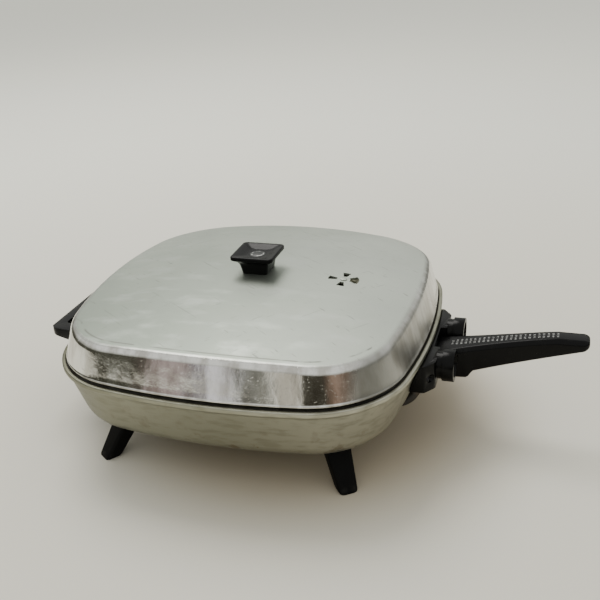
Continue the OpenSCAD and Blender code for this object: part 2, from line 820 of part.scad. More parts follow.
module leg(sx, sy) {
    color(phenolic)
        at_pan()
            difference() {
                mirror([sx < 0 ? 1 : 0, 0, 0])
                    mirror([0, sy < 0 ? 1 : 0, 0])
                        skin([leg_ring(0, 1), leg_ring(0.4, 0.3), leg_ring(1.2, 0), leg_ring(floor_z, 0)]);
                leg_axis(sx, sy) {
                    translate([0, 0, -10]) cylinder(r = leg_boss_r + fit_gap, h = 10 + leg_boss_l + fit_gap);
                    cylinder(r = screw_r + hole_gap, h = leg_seat + 1);
                    translate([0, 0, leg_seat]) cylinder(r = head_r + fit_gap, h = leg_drop);
                }
            }
}

module leg_front_left() {
    leg(-1, -1);
}

module leg_front_right() {
    leg(1, -1);
}

module leg_back_left() {
    leg(-1, 1);
}

module leg_back_right() {
    leg(1, 1);
}

module leg_screws() {
    color(steel)
        at_pan()
            for (sx = [-1, 1], sy = [-1, 1]) {
                leg_axis(sx, sy)
                    translate([0, 0, leg_seat])
                        rotate([180, 0, 0]) screw(screw_r, leg_seat - 1.6, head_r, head_h);
            }
}

function crown(p) = crown_z - (pow(p[0], 2) + pow(p[1], 2)) / crown_k;
// A level ring of the lid
function lid_ring(u, z) = [for (p = outline(u, lid_sides, lid_corners)) [p[0], p[1], z]];
// A ring on the crown, a share f of the way from its middle to its edge
function crown_ring(f, drop) =
    [for (p = f * outline(-shoulder_in, lid_sides, lid_corners)) [p[0], p[1], crown(p) - drop]];
// A ring of the round between the side and the crown, from t = 0 at the side to t = 1
function shoulder_ring(t, inset, r) =
    let (
        side = outline(lid_wall_u - inset, lid_sides, lid_corners),
        edge = outline(-shoulder_in - inset, lid_sides, lid_corners))
    [for (i = [0:len(side) - 1]) let (
            foot = [side[i][0], side[i][1], lid_wall_z],
            peak = [edge[i][0], edge[i][1], crown(edge[i]) - inset],
            from = mix(peak, foot, r / norm(foot - peak)),
            in = edge[i] * (1 - r / norm(edge[i])),
            to = [in[0], in[1], crown(in) - inset])
        mix(mix(from, peak, t), mix(peak, to, t), t)];

module lid() {
    rings = concat(
        [for (f = [0.09, 0.3, 0.5, 0.7, 0.86]) crown_ring(f, lid_t)],
        [for (t = [1:-0.25:0]) shoulder_ring(t, lid_t, shoulder_r - 0.6 * lid_t)],
        [lid_ring(lid_wall_u - lid_t, lid_wall_z), lid_ring(skirt_u - lid_t, bead_z - 1),
         lid_ring(skirt_u - lid_t, seat_z + lid_gap), lid_ring(skirt_u, seat_z + lid_gap),
         lid_ring(skirt_u, bead_z), lid_ring(-bead_in - 0.5, bead_z),
         lid_ring(-bead_in, bead_z + 0.5), lid_ring(-bead_in, bead_z + bead_h - 0.5),
         lid_ring(-bead_in - 0.5, bead_z + bead_h), lid_ring(lid_wall_u, lid_wall_z)],
        [for (t = [0:0.2:1]) shoulder_ring(t, 0, shoulder_r)],
        [for (f = [0.86, 0.7, 0.5, 0.3, 0.09]) crown_ring(f, 0)]);
    color([0.80, 0.80, 0.79])
        at_pan()
            difference() {
                skin(rings);
                translate([0, 0, crown_z - 10]) cylinder(r = screw_r + hole_gap, h = 20);
                at_vent() {
                    translate([0, 0, pad_z - 2]) cylinder(r = shutter_r + 1.2, h = 2);
                    translate([0, 0, -5]) cylinder(r = rivet_r, h = 10);
                    for (a = [90, 180, 270]) {
                        vent_window(a, vent_a);
                    }
                    vent_window(slot_from + (vent_turn + 2 * tab_a) / 2, vent_turn + 2 * tab_a);
                }
            }
}

// A window of the vent: a part of a ring, centred at an angle
module vent_window(at, wide) {
    rotate([0, 0, at - wide / 2])
        rotate_extrude(angle = wide)
            translate([vent_in, -5]) square([vent_out - vent_in, 10]);
}

module knob() {
    neck_h = 0.5 * knob_h;
    plate_h = 4;
    sides = [
        [knob_neck, 2.6, 0], [knob_neck + 0.6, 2.6, 0.5 * neck_h], [knob_neck + 1.6, 2.8, neck_h],
        [knob_neck + 3.2, 3, neck_h + 2.4], [knob_half - 2, 3.4, knob_h - plate_h],
        [knob_half - 0.3, 3.6, knob_h - plate_h + 0.6],
        [knob_half, 3.6, knob_h - plate_h + 1.4], [knob_half, 3.6, knob_h - 1],
        [knob_half - 0.3, 3.6, knob_h - 0.3], [knob_half - 1, 3.4, knob_h],
        [knob_half - 2.6, 3, knob_h - 0.2], [disc_r + 2, 3, knob_h - knob_dish],
    ];
    color(phenolic)
        at_pan()
            translate([0, 0, crown_z])
                difference() {
                    skin([for (s = sides) [for (p = round_box(s[0], s[0], s[1], 5)) [p[0], p[1], s[2]]]]);
                    translate([0, 0, knob_h - knob_dish - disc_t]) cylinder(r = disc_r + hole_gap, h = 10);
                    translate([0, 0, -1]) cylinder(r = screw_r + hole_gap, h = knob_bore + 1);
                }
}

module knob_disc() {
    color(steel)
        at_pan()
            translate([0, 0, crown_z + knob_h - knob_dish - disc_t + 0.05])
                cylinder(r = disc_r, h = disc_t);
}

module knob_washer() {
    color(steel)
        at_pan()
            translate([0, 0, crown_z - lid_t - washer_t - 0.2])
                difference() {
                    cylinder(r = washer_r, h = washer_t);
                    translate([0, 0, -1]) cylinder(r = screw_r + hole_gap, h = 5);
                }
}

module knob_screw() {
    color(steel)
        at_pan()
            translate([0, 0, crown_z - lid_t - washer_t - 0.2])
                screw(screw_r, lid_t + washer_t + knob_bore - 0.8, head_r, head_h);
}

module vent_shutter() {
    top = pad_z - shutter_gap;
    color([0.66, 0.66, 0.66])
        at_pan()
            at_vent()
                difference() {
                    union() {
                        translate([0, 0, top - shutter_t]) cylinder(r = shutter_r, h = shutter_t);
                        rotate([0, 0, slot_from + tab_a])
                            translate([tab_in, -tab_half, top - shutter_t])
                                cube([tab_l, 2 * tab_half, tab_up + shutter_t - top]);
                    }
                    translate([0, 0, -10]) cylinder(r = rivet_r + rivet_gap, h = 20);
                    for (a = [90, 180, 270]) {
                        vent_window(a, vent_a);
                    }
                }
}

module vent_rivet() {
    foot = pad_z - shutter_gap - shutter_t - 2 * hole_gap - spring_t;
    color(steel)
        at_pan()
            at_vent() {
                translate([0, 0, foot]) cylinder(r = rivet_r, h = -foot);
                translate([0, 0, 0]) cylinder(r = rivet_head_r, h = rivet_head_h);
                translate([0, 0, foot - rivet_head_h]) cylinder(r = rivet_head_r, h = rivet_head_h);
            }
}

module vent_washer() {
    top = pad_z - shutter_gap - shutter_t - hole_gap;
    color(steel)
        at_pan()
            at_vent()
                difference() {
                    translate([0, 0, top - spring_t]) cylinder(r = 4.4, h = spring_t);
                    translate([0, 0, -10]) cylinder(r = rivet_r + hole_gap, h = 20);
                }
}

pan();
heating_element();
thermostat_tube();
socket_plate();
socket_screws();
terminal_bushes();
terminal_pins();
lead_connectors();
long_handle();
handle_screws();
helper_handle();
helper_screws();
leg_front_left();
leg_front_right();
leg_back_left();
leg_back_right();
leg_screws();
lid();
knob();
knob_disc();
knob_washer();
knob_screw();
vent_shutter();
vent_rivet();
vent_washer();
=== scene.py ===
import json
import math

import bmesh
import bpy
from mathutils import Matrix, Vector


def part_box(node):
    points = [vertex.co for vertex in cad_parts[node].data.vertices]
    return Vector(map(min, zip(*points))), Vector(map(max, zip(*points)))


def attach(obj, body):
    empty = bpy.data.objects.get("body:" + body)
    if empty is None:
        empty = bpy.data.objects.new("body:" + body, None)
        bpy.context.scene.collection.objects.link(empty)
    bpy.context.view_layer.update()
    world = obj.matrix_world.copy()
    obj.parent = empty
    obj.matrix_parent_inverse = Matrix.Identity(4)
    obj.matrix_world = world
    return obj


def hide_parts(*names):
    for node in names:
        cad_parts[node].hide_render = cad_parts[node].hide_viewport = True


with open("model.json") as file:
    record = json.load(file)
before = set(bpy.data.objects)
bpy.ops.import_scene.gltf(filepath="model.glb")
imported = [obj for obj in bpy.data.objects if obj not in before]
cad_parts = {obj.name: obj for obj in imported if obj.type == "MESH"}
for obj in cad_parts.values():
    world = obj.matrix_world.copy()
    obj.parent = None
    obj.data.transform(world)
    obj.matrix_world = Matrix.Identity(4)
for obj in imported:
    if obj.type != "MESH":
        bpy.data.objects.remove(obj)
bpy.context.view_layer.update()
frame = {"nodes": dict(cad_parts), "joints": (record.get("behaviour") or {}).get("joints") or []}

# ---------------------------------------------------------------- the table and the light
# The skillet stands on a wide plain table under a soft dome, with one broad lamp above and
# behind it on the helper handle's side. A low ring round the table stands for the room that
# the metal mirrors. The camera looks down at the skillet from in front.

mm = 0.001


class Wire:
    """A node's output. Sums and products of wires and numbers add Math nodes."""

    def __init__(self, graph, socket):
        self.graph = graph
        self.socket = socket

    def math(self, operation, first, second):
        """Adds a Math node on two wires or numbers."""
        return self.graph.node("ShaderNodeMath", {"operation": operation}, {0: first, 1: second})

    def __add__(self, other):
        return self.math("ADD", self, other)

    def __sub__(self, other):
        return self.math("SUBTRACT", self, other)

    def __rsub__(self, other):
        return self.math("SUBTRACT", other, self)

    def __mul__(self, other):
        return self.math("MULTIPLY", self, other)

    def __truediv__(self, other):
        return self.math("DIVIDE", self, other)

    __radd__ = __add__
    __rmul__ = __mul__


class Graph:
    """A node tree, for a material, the dome or a shape, that is filled through one method."""

    def __init__(self, tree):
        self.tree = tree

    def node(self, kind, settings=None, values=None, out=0):
        """Adds a node, sets it, then gives its sockets their values or wires."""
        made = self.tree.nodes.new(kind)
        for name, setting in (settings or {}).items():
            if name == "stops":
                # A new ramp already has its first and its last stop
                ramp = made.color_ramp
                for k, (at, shade) in enumerate(setting):
                    stop = ramp.elements[k] if k < 2 else ramp.elements.new(at)
                    stop.position = at
                    stop.color = (*shade, 1)
            else:
                setattr(made, name, setting)
        for name, value in (values or {}).items():
            if isinstance(value, Wire):
                self.tree.links.new(value.socket, made.inputs[name])
            else:
                made.inputs[name].default_value = value
        return Wire(self, made.outputs[out]) if made.outputs else made

    def noise(self, place, size, detail=3.0, stretch=(1, 1, 1)):
        """Grey noise from 0 to 1 whose patches are about size metres across."""
        moved = self.node("ShaderNodeMapping", {}, {"Vector": place, "Scale": stretch})
        values = {"Vector": moved, "Scale": 1 / size, "Detail": detail}
        return self.node("ShaderNodeTexNoise", {}, values)

    def rise(self, wire, low, high):
        """0 below low, 1 above high and smooth between them."""
        values = {"Value": wire, "From Min": low, "From Max": high}
        return self.node("ShaderNodeMapRange", {"interpolation_type": "SMOOTHSTEP"}, values)

    def blend(self, share, first, second):
        """A colour between two colours."""
        colours = [c if isinstance(c, Wire) else (*c, 1) for c in (first, second)]
        values = {0: share, 6: colours[0], 7: colours[1]}
        return self.node("ShaderNodeMix", {"data_type": "RGBA"}, values, out=2)

    def part(self, place, axis):
        """One coordinate of a place."""
        return self.node("ShaderNodeSeparateXYZ", {}, {"Vector": place}, out=axis)

    def along(self, place, way):
        """How far a place lies along a way."""
        settings = {"operation": "DOT_PRODUCT"}
        return self.node("ShaderNodeVectorMath", settings, {0: place, 1: way}, out="Value")

    def far(self, place):
        """How far a place lies from the origin."""
        return self.node("ShaderNodeVectorMath", {"operation": "LENGTH"}, {0: place}, out="Value")

    def mark(self, name):
        """A value kept on the mesh's own points."""
        return self.node("ShaderNodeAttribute", {"attribute_name": name}, out="Fac")

    def bump(self, height, depth):
        """A normal from a height of 0 to 1 that stands for depth metres."""
        return self.node("ShaderNodeBump", {}, {"Height": height, "Distance": depth})


def paint(name, fixed, pattern):
    """A material: fixed values sit on its shader, and pattern gives the wires of what varies."""
    material = bpy.data.materials.new(name)
    material.use_nodes = True
    shader = material.node_tree.nodes["Principled BSDF"]
    graph = Graph(material.node_tree)
    for socket, value in fixed.items():
        shader.inputs[socket].default_value = value
    place = graph.node("ShaderNodeTexCoord", out="Object")
    for socket, wire in pattern(graph, place).items():
        graph.tree.links.new(wire.socket, shader.inputs[socket])
    return material


def set_down(name, data):
    """A new object in the scene."""
    piece = bpy.data.objects.new(name, data)
    bpy.context.scene.collection.objects.link(piece)
    return piece


def smooth(mesh, sharp=35):
    """Smooth shading but for edges over sharp degrees."""
    mesh.shade_smooth()
    mesh.set_sharp_from_angle(angle=math.radians(sharp))


def new_piece(name, points, faces, material, sharp=35):
    """A mesh object from points in millimetres."""
    mesh = bpy.data.meshes.new(name)
    mesh.from_pydata([Vector(p) * mm for p in points], [], faces)
    mesh.materials.append(material)
    smooth(mesh, sharp)
    return set_down(name, mesh)


def circle(radius, count, z=0):
    """Points of a level circle, against the clock."""
    return [(radius * math.cos(k * math.tau / count), radius * math.sin(k * math.tau / count), z)
            for k in range(count)]


def span(node):
    """A CAD node's lowest and highest corners, in millimetres."""
    low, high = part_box(node)
    return low / mm, high / mm


lid_low, lid_high = span("lid")
pan_x = (lid_low.x + lid_high.x) / 2

camera_turn = math.radians(18.5)
camera_rise = math.radians(24.9)
camera_roll = math.radians(-3.17)
camera_way = 634.5
camera_aim = Vector((pan_x + 57.9, -70.8, 135.3))
camera_lens = 52.25

back = Vector((math.sin(camera_turn), -math.cos(camera_turn), math.tan(camera_rise))).normalized()
across = Vector((math.cos(camera_turn), math.sin(camera_turn), 0))
upright = back.cross(across)
lean_x = across * math.cos(camera_roll) + upright * math.sin(camera_roll)
lean_y = upright * math.cos(camera_roll) - across * math.sin(camera_roll)
camera = set_down("camera", bpy.data.cameras.new("camera"))
turned = Matrix((lean_x, lean_y, back)).transposed().to_4x4()
camera.matrix_world = Matrix.Translation((camera_aim + back * camera_way) * mm) @ turned
camera.data.lens = camera_lens
bpy.context.scene.camera = camera

table_r = 9000
table_sides = 96


def table_pattern(graph, place):
    """Pale matt board with a painted brown shadow close under the skillet, lighter and greyer further away.
    """
    far = graph.far(place)
    cloud = graph.noise(place, 0.6)
    grain = graph.noise(place, 0.004)
    near_by = graph.blend(cloud, (0.75, 0.72, 0.625), (0.79, 0.76, 0.665))
    # Painted shadow: the board is painted dark brown close under the skillet
    under_painted_shadow = graph.blend(graph.rise(far, 0.09, 0.21), (0.50, 0.43, 0.32), near_by)
    return {
        "Base Color": graph.blend(graph.rise(far, 0.25, 1.1), under_painted_shadow, (0.87, 0.865, 0.775)),
        "Normal": graph.bump(grain, 0.00004),
    }


table = new_piece(
    "table",
    circle(table_r, table_sides),
    [tuple(range(table_sides))],
    paint("table_top", {"Roughness": 0.75, "Specular IOR Level": 0.2}, table_pattern),
)

lamp_at = Vector((-0.7, 0.75, 1.7))
lamp_aim = Vector((0, 0, 0.05))
lamp = set_down("lamp", bpy.data.lights.new("lamp", "AREA"))
lamp.data.shape = "DISK"
lamp.data.size = 1.1
lamp.data.energy = 22
lamp.data.color = (1.0, 0.98, 0.94)
lamp_turn = (lamp_at - lamp_aim).to_track_quat("Z", "Y")
lamp.matrix_world = Matrix.Translation(lamp_at) @ lamp_turn.to_matrix().to_4x4()

dome = bpy.data.worlds.new("dome")
dome.use_nodes = True
bpy.context.scene.world = dome
sky = Graph(dome.node_tree)
ray = sky.node("ShaderNodeTexCoord", out="Generated")
glow = sky.blend(sky.rise(sky.part(ray, "Z"), 0.03, 0.45), (0.24, 0.24, 0.21), (1.1, 1.11, 1.07))
light = sky.node("ShaderNodeBackground", {}, {"Color": glow, "Strength": 0.88})
sky.tree.links.new(light.socket, dome.node_tree.nodes["World Output"].inputs["Surface"])

# The room round the table, a low ring of soft stretches that shows in reflections only
room_r = 1150
room_h = 520
room_sides = 180
# Degrees from the front, towards the long handle, and the colour there
room_colours = [
    (-180, (0.50, 0.51, 0.46)), (-130, (0.52, 0.53, 0.48)), (-108, (0.12, 0.12, 0.095)),
    (-37, (0.08, 0.08, 0.06)), (-32, (0.44, 0.36, 0.34)), (-25, (0.50, 0.42, 0.40)),
    (-22.5, (0.05, 0.045, 0.05)), (-20, (0.98, 0.96, 1.0)), (-15, (0.95, 0.94, 0.95)),
    (-11.5, (0.20, 0.20, 0.18)), (-5, (0.26, 0.26, 0.22)), (-2, (1.0, 0.97, 0.85)), (1.5, (0.90, 0.87, 0.76)),
    (5, (0.06, 0.055, 0.04)), (27, (0.065, 0.06, 0.045)), (36, (0.34, 0.24, 0.18)),
    (52, (0.24, 0.18, 0.14)), (64, (0.12, 0.12, 0.11)), (120, (0.15, 0.15, 0.14)), (150, (0.34, 0.35, 0.32)),
]


def room_pattern(graph, place):
    """Soft stretches of colour round the ring, that fade into the table below and the dome above."""
    x, y, z = (graph.part(place, axis) for axis in "XYZ")
    turn = graph.node("ShaderNodeMath", {"operation": "ARCTAN2"}, {0: x, 1: 0 - y}) / math.tau + 0.5
    stops = [(0.5 + degrees / 360, colour) for degrees, colour in room_colours]
    # The two ends come first, because a new ramp already has them
    stops = stops[:1] + stops[-1:] + stops[1:-1]
    stretches = graph.node("ShaderNodeValToRGB", {"stops": stops}, {"Fac": turn})
    lower = graph.blend(graph.rise(z, 0.0, 0.015), (0.40, 0.39, 0.35), stretches)
    return {"Emission Color": graph.blend(graph.rise(z, 0.2, 0.45), lower, (0.74, 0.75, 0.70))}


room_glow = {"Base Color": (0, 0, 0, 1), "Specular IOR Level": 0, "Emission Strength": 1.0}
room = new_piece(
    "room",
    circle(room_r, room_sides, 1) + circle(room_r, room_sides, room_h),
    [(room_sides + k, room_sides + (k + 1) % room_sides, (k + 1) % room_sides, k) for k in range(room_sides)],
    paint("room", room_glow, room_pattern),
)
room.visible_camera = False
room.visible_diffuse = False
room.visible_shadow = False

# ---------------------------------------------------------------- the pan
# One aluminium casting: a square tray with bowed sides, a lip, a stepped seat for the lid, ribs
# for the element and the thermostat tube, four leg bosses and the lugs that carry the handles.

pan_high = span("pan")[1]
rim_half = pan_high.y
rim_z = pan_high.z
side_r = 490
corner_r = 76
side_c = rim_half - side_r
corner_c = (side_c + math.sqrt(2 * (side_r - corner_r) ** 2 - side_c ** 2)) / 2
side_a = math.atan2(corner_c, corner_c - side_c)
lip_h = 4
lip_w = 2.6
rim_t = 3
seat_z = rim_z - 2.5
seat_w = 6
floor_z = 33.5
floor_t = 4
wall_t = 3.4
wall_lean = math.radians(17.5)
edge_r = 19
inner_r = edge_r - wall_t
wall_top_z = rim_z - lip_h - 0.6 * lip_w
floor_top = floor_z + floor_t


def outline(out, per_side=10, per_corner=40):
    """Points against the clock round the rim, or round its parallel that lies out further out."""
    points = []
    for quarter in range(4):
        turn = Matrix.Rotation(quarter * math.pi / 2, 2)
        for k in range(per_side):
            a = side_a * (2 * k / per_side - 1)
            p = Vector((side_c + (side_r + out) * math.cos(a), (side_r + out) * math.sin(a)))
            points.append(turn @ p)
        for k in range(per_corner):
            a = side_a + (math.pi / 2 - 2 * side_a) * k / per_corner
            p = Vector((corner_c + (corner_r + out) * math.cos(a), corner_c + (corner_r + out) * math.sin(a)))
            points.append(turn @ p)
    return [Vector((p.x + pan_x, p.y)) for p in points]


def soften(corners, steps=4):
    """Points of a line whose corners (x, y, round) are drawn as curves of that length."""
    points = []
    for k, (x, y, size) in enumerate(corners):
        here = Vector((x, y))
        if size == 0:
            points.append(here)
            continue
        before = here + (Vector(corners[k - 1][:2]) - here).normalized() * size
        after = here + (Vector(corners[k + 1][:2]) - here).normalized() * size
        for step in range(steps + 1):
            t = step / steps
            points.append(before.lerp(here, t).lerp(here.lerp(after, t), t))
    return points


def arc(middle, radius, start, stop, steps):
    """Points (x, y, 0) of an arc from one angle to another."""
    return [(middle[0] + radius * math.cos(start + (stop - start) * k / steps),
             middle[1] + radius * math.sin(start + (stop - start) * k / steps), 0)
            for k in range(steps + 1)]


def round_middle(radius, height, inset):
    """Middle of a round that touches the leaning wall, inset behind its outer face."""
    reach = (radius + inset + math.sin(wall_lean) * (wall_top_z - height)) / math.cos(wall_lean)
    return (-lip_w - reach, height)


def wall_out(height):
    """How far out the wall's outer face lies at a height."""
    return -lip_w - (wall_top_z - height) * math.tan(wall_lean)


def cast_pattern(graph, place):
    """Satin casting: pitted skin, faint streaks, brown patches that thicken towards the bottom, painted shade
    in the seat, painted shade towards the left and back and a painted highlight towards the front right
    corner.
    """
    height = graph.part(place, "Z")
    skin_grain = graph.noise(place, 0.0011, detail=6.0)
    cloud = graph.noise(place, 0.055, detail=4.0)
    streak = graph.noise(place, 0.016, detail=6.0, stretch=(1, 1, 3.5))
    # Brown patches, with more of them towards the bottom
    brown_patches = graph.rise(graph.noise(place, 0.012, detail=6.0), 0.57, 0.68)
    patches_low_down = brown_patches * (0.25 + 0.6 * (1 - graph.rise(height, 0.036, 0.060)))
    # Painted shade: the seat under the lid's bead is painted near black and made less metallic
    painted_seat_shade = graph.mark("painted_seat_shade")
    clean = graph.blend(cloud, (0.28, 0.28, 0.215), (0.38, 0.375, 0.30))
    # Painted shade darkens the casting towards the left and back, and a painted highlight brightens it
    # towards the front right corner
    to_corner = graph.along(place, (0.8, -0.6, 0))
    painted_shade_left_back = graph.blend(graph.rise(to_corner, -0.12, 0.03), (0.075, 0.075, 0.045), clean)
    rubbed_and_painted_light = graph.blend(graph.rise(to_corner, 0.05, 0.17) * 0.6, painted_shade_left_back, (0.60, 0.585, 0.50))
    streaked = graph.blend(graph.rise(streak, 0.45, 0.7) * 0.45, rubbed_and_painted_light, (0.20, 0.195, 0.14))
    patched = graph.blend(patches_low_down, streaked, (0.20, 0.17, 0.12))
    return {
        "Base Color": graph.blend(painted_seat_shade, patched, (0.035, 0.03, 0.02)),
        "Metallic": 1 - 0.8 * painted_seat_shade,
        "Roughness": 0.30 + 0.12 * cloud + 0.12 * streak + 0.15 * patches_low_down,
        "Normal": graph.bump(skin_grain, 0.00010),
    }


cast_metal = paint("cast_aluminium", {}, cast_pattern)


def new_tree(name, inputs):
    """An empty geometry tree, with its group input's sockets by name."""
    tree = bpy.data.node_groups.new(name, "GeometryNodeTree")
    tree.interface.new_socket("Geometry", in_out="INPUT", socket_type="NodeSocketGeometry")
    for label, kind in inputs.items():
        tree.interface.new_socket(label, in_out="INPUT", socket_type="NodeSocket" + kind)
    tree.interface.new_socket("Geometry", in_out="OUTPUT", socket_type="NodeSocketGeometry")
    graph = Graph(tree)
    source = graph.node("NodeGroupInput").socket.node
    return graph, {socket.name: Wire(graph, socket) for socket in source.outputs if socket.name}


def close_tree(graph, shape, material):
    """Ends a tree: real geometry in one material."""
    real = graph.node("GeometryNodeRealizeInstances", {}, {"Geometry": shape})
    done = graph.node("GeometryNodeSetMaterial", {}, {"Geometry": real, "Material": material})
    graph.node("NodeGroupOutput", {}, {"Geometry": done})
    return graph.tree


def finished_mesh(source):
    """The plain mesh that an object's modifiers end in. The object itself goes."""
    ready = source.evaluated_get(bpy.context.evaluated_depsgraph_get())
    mesh = bpy.data.meshes.new_from_object(ready)
    bpy.data.objects.remove(source)
    return mesh


def baked(name, source, tree, values):
    """Runs a tree on an object and keeps the result as one plain mesh with outward faces."""
    modifier = source.modifiers.new("shape", "NODES")
    modifier.node_group = tree
    for item in tree.interface.items_tree:
        if item.name in values and item.in_out == "INPUT":
            modifier[item.identifier] = values[item.name]
    mesh = finished_mesh(source)
    shape = bmesh.new()
    shape.from_mesh(mesh)
    bmesh.ops.remove_doubles(shape, verts=shape.verts, dist=1e-6)
    bmesh.ops.holes_fill(shape, edges=shape.edges, sides=0)
    bmesh.ops.recalc_face_normals(shape, faces=shape.faces)
    shape.to_mesh(mesh)
    shape.free()
    smooth(mesh)
    mesh.name = name
    return set_down(name, mesh)


def wire_line(name, points, closed=False, marks=None):
    """A mesh of edges only, through points in millimetres. Marks say which lie in the seat."""
    mesh = bpy.data.meshes.new(name)
    count = len(points)
    edges = [(k, (k + 1) % count) for k in range(count if closed else count - 1)]
    mesh.from_pydata([Vector(p) * mm for p in points], edges, [])
    if marks:
        mesh.attributes.new("painted_seat_shade", "FLOAT", "POINT").data.foreach_set("value", marks)
    return set_down(name, mesh)


# Sweeps the section of one object along the line of another
sweep, given = new_tree("sweep", {"Section": "Object", "Material": "Material"})
path = sweep.node("GeometryNodeMeshToCurve", {}, {"Mesh": given["Geometry"]})
section = sweep.node("GeometryNodeObjectInfo", {}, {"Object": given["Section"]}, out="Geometry")
section = sweep.node("GeometryNodeMeshToCurve", {}, {"Mesh": section})
swept = sweep.node("GeometryNodeCurveToMesh", {}, {
    "Curve": path, "Profile Curve": section, "Fill Caps": True})
sweep = close_tree(sweep, swept, given["Material"])


def sweep_section(name, line, section, closed, material, marks=None):
    """A piece swept along a line. A section point is (outwards, upwards), in millimetres."""
    profile = wire_line("section", [(p[0], -p[1], 0) for p in section], closed, marks)
    piece = baked(name, line, sweep, {"Section": profile, "Material": material})
    bpy.data.objects.remove(profile)
    return piece


inner_mid = round_middle(inner_r, floor_top + inner_r, wall_t)
outer_mid = round_middle(edge_r, floor_z + edge_r, 0)
seat_foot_z = seat_z - 9
middle_out = -70
seat_drop = 5
pan_section = soften(
    [(middle_out, floor_z, 0)]
    + arc(outer_mid, edge_r, -math.pi / 2, -wall_lean, 14)
    + [(-lip_w, wall_top_z, 1.0), (0, rim_z - lip_h + 0.2, 1.0), (0, rim_z, 1.1), (-rim_t, rim_z, 0.7),
       (-rim_t, seat_z, 0.5), (-rim_t - seat_w, seat_z, 1.2), (-rim_t - seat_w, seat_z - seat_drop, 2),
       (wall_out(seat_foot_z) - wall_t / math.cos(wall_lean), seat_foot_z, 2)]
    + arc(inner_mid, inner_r, -wall_lean, -math.pi / 2, 12)
    + [(middle_out, floor_top, 0)])
rim_line = wire_line("rim_line", [(p.x, p.y, 0) for p in outline(0)], closed=True)
# Points in the seat, which get the painted shade
in_painted_seat_shade = [float(seat_z - 1 < p[1] < rim_z - 0.6 and p[0] < 0.1 - rim_t) for p in pan_section]
pan = sweep_section("pan", rim_line, pan_section, False, cast_metal, in_painted_seat_shade)

# Ribs, bosses and lugs are separate shells that run a little into the wall and the floor
loop_half = 74
loop_r = 24
exit_r = 12
socket_y = 28
rib_w = 13
rib_h = 6


def bent(corners, steps=8):
    """Points of a line in space whose corners (point, radius) are round bends."""
    points = []
    for k, (here, radius) in enumerate(corners):
        here = Vector(here)
        if radius == 0:
            points.append(here)
            continue
        to_last = (Vector(corners[k - 1][0]) - here).normalized()
        to_next = (Vector(corners[k + 1][0]) - here).normalized()
        half = to_last.angle(to_next) / 2
        centre = here + (to_last + to_next).normalized() * radius / math.sin(half)
        start = here + to_last * radius / math.tan(half) - centre
        stop = here + to_next * radius / math.tan(half) - centre
        for step in range(steps + 1):
            points.append(centre + start.normalized().slerp(stop.normalized(), step / steps) * radius)
    return points


def mirrored(corners):
    """A run of corners on the back half, followed by the same on the front half in return."""
    return corners + [((x, -y, z), r) for (x, y, z), r in reversed(corners)]


def joined(name, pieces):
    """One object out of several, named after the first."""
    with bpy.context.temp_override(active_object=pieces[0], selected_editable_objects=pieces):
        bpy.ops.object.join()
    pieces[0].name = name
    return pieces[0]


def skin(rings):
    """Points and faces of a closed skin over rings of equal length."""
    count = len(rings[0])
    points = [p for ring in rings for p in ring]
    last = (len(rings) - 1) * count
    faces = []
    for base in range(0, last, count):
        for i in range(count):
            after = (i + 1) % count
            faces.append((base + i, base + after, base + count + after, base + count + i))
    faces.append(tuple(reversed(range(count))))
    faces.append(tuple(range(last, last + count)))
    return points, faces


def post(start, stop, radius):
    """Rings of a round post from start to stop, with its end softened."""
    start, stop = Vector(start), Vector(stop)
    turn = (stop - start).to_track_quat("Z", "Y")
    rings = []
    for share, r in ((0, radius), (0.9, radius), (0.97, radius - 0.1), (1, radius - 0.5)):
        rings.append([start.lerp(stop, share) + turn @ Vector(p) for p in circle(r, 32)])
    return rings


def round_box(half_x, half_y, radius, steps=6):
    """Points of a rectangle with round corners, against the clock."""
    points = []
    for quarter, (sx, sy) in enumerate(((1, 1), (-1, 1), (-1, -1), (1, -1))):
        for k in range(steps + 1):
            a = math.pi / 2 * (quarter + k / steps)
            points.append(Vector((sx * (half_x - radius) + radius * math.cos(a),
                                  sy * (half_y - radius) + radius * math.sin(a))))
    return points


def block(low, high, radius):
    """Rings of a block with round upright edges and softened top and bottom edges."""
    mid = [(a + b) / 2 for a, b in zip(low, high)]
    half = [(b - a) / 2 for a, b in zip(low, high)]
    rings = []
    soft = [(0.6 * radius, 0), (0.2 * radius, 0.2 * radius), (0, 0.6 * radius)]
    levels = [(cut, low[2] + rise) for cut, rise in soft]
    levels += [(cut, high[2] - rise) for cut, rise in reversed(soft)]
    for cut, z in levels:
        plan = round_box(half[0] - cut, half[1] - cut, radius)
        rings.append([(mid[0] + p.x, mid[1] + p.y, z) for p in plan])
    return rings


foot_x, foot_y = 98.5, 107.5
leg_x, leg_y = 84, 88
boss_l, boss_r, boss_in = 7, 4.2, 2
leg_way = Vector((foot_x - leg_x, foot_y - leg_y, -floor_z)).normalized()
quarters = [(sx, sy) for sx in (-1, 1) for sy in (-1, 1)]
probe_in = 86
tube_rib_l = 50
lug_z, lug_h, lug_w, lug_l, lug_in = 57, 8, 6, 22, 12
helper_lug_z, helper_lug_h, helper_lug_w, helper_lug_l, helper_lug_in = 71.6, 3.6, 14, 14, 5


def leg_line(sx, sy):
    """Where a leg's middle line meets the pan's floor, and the way it runs down."""
    top = Vector((pan_x + sx * leg_x, sy * leg_y, floor_z))
    return top, Vector((sx * leg_way.x, sy * leg_way.y, leg_way.z))


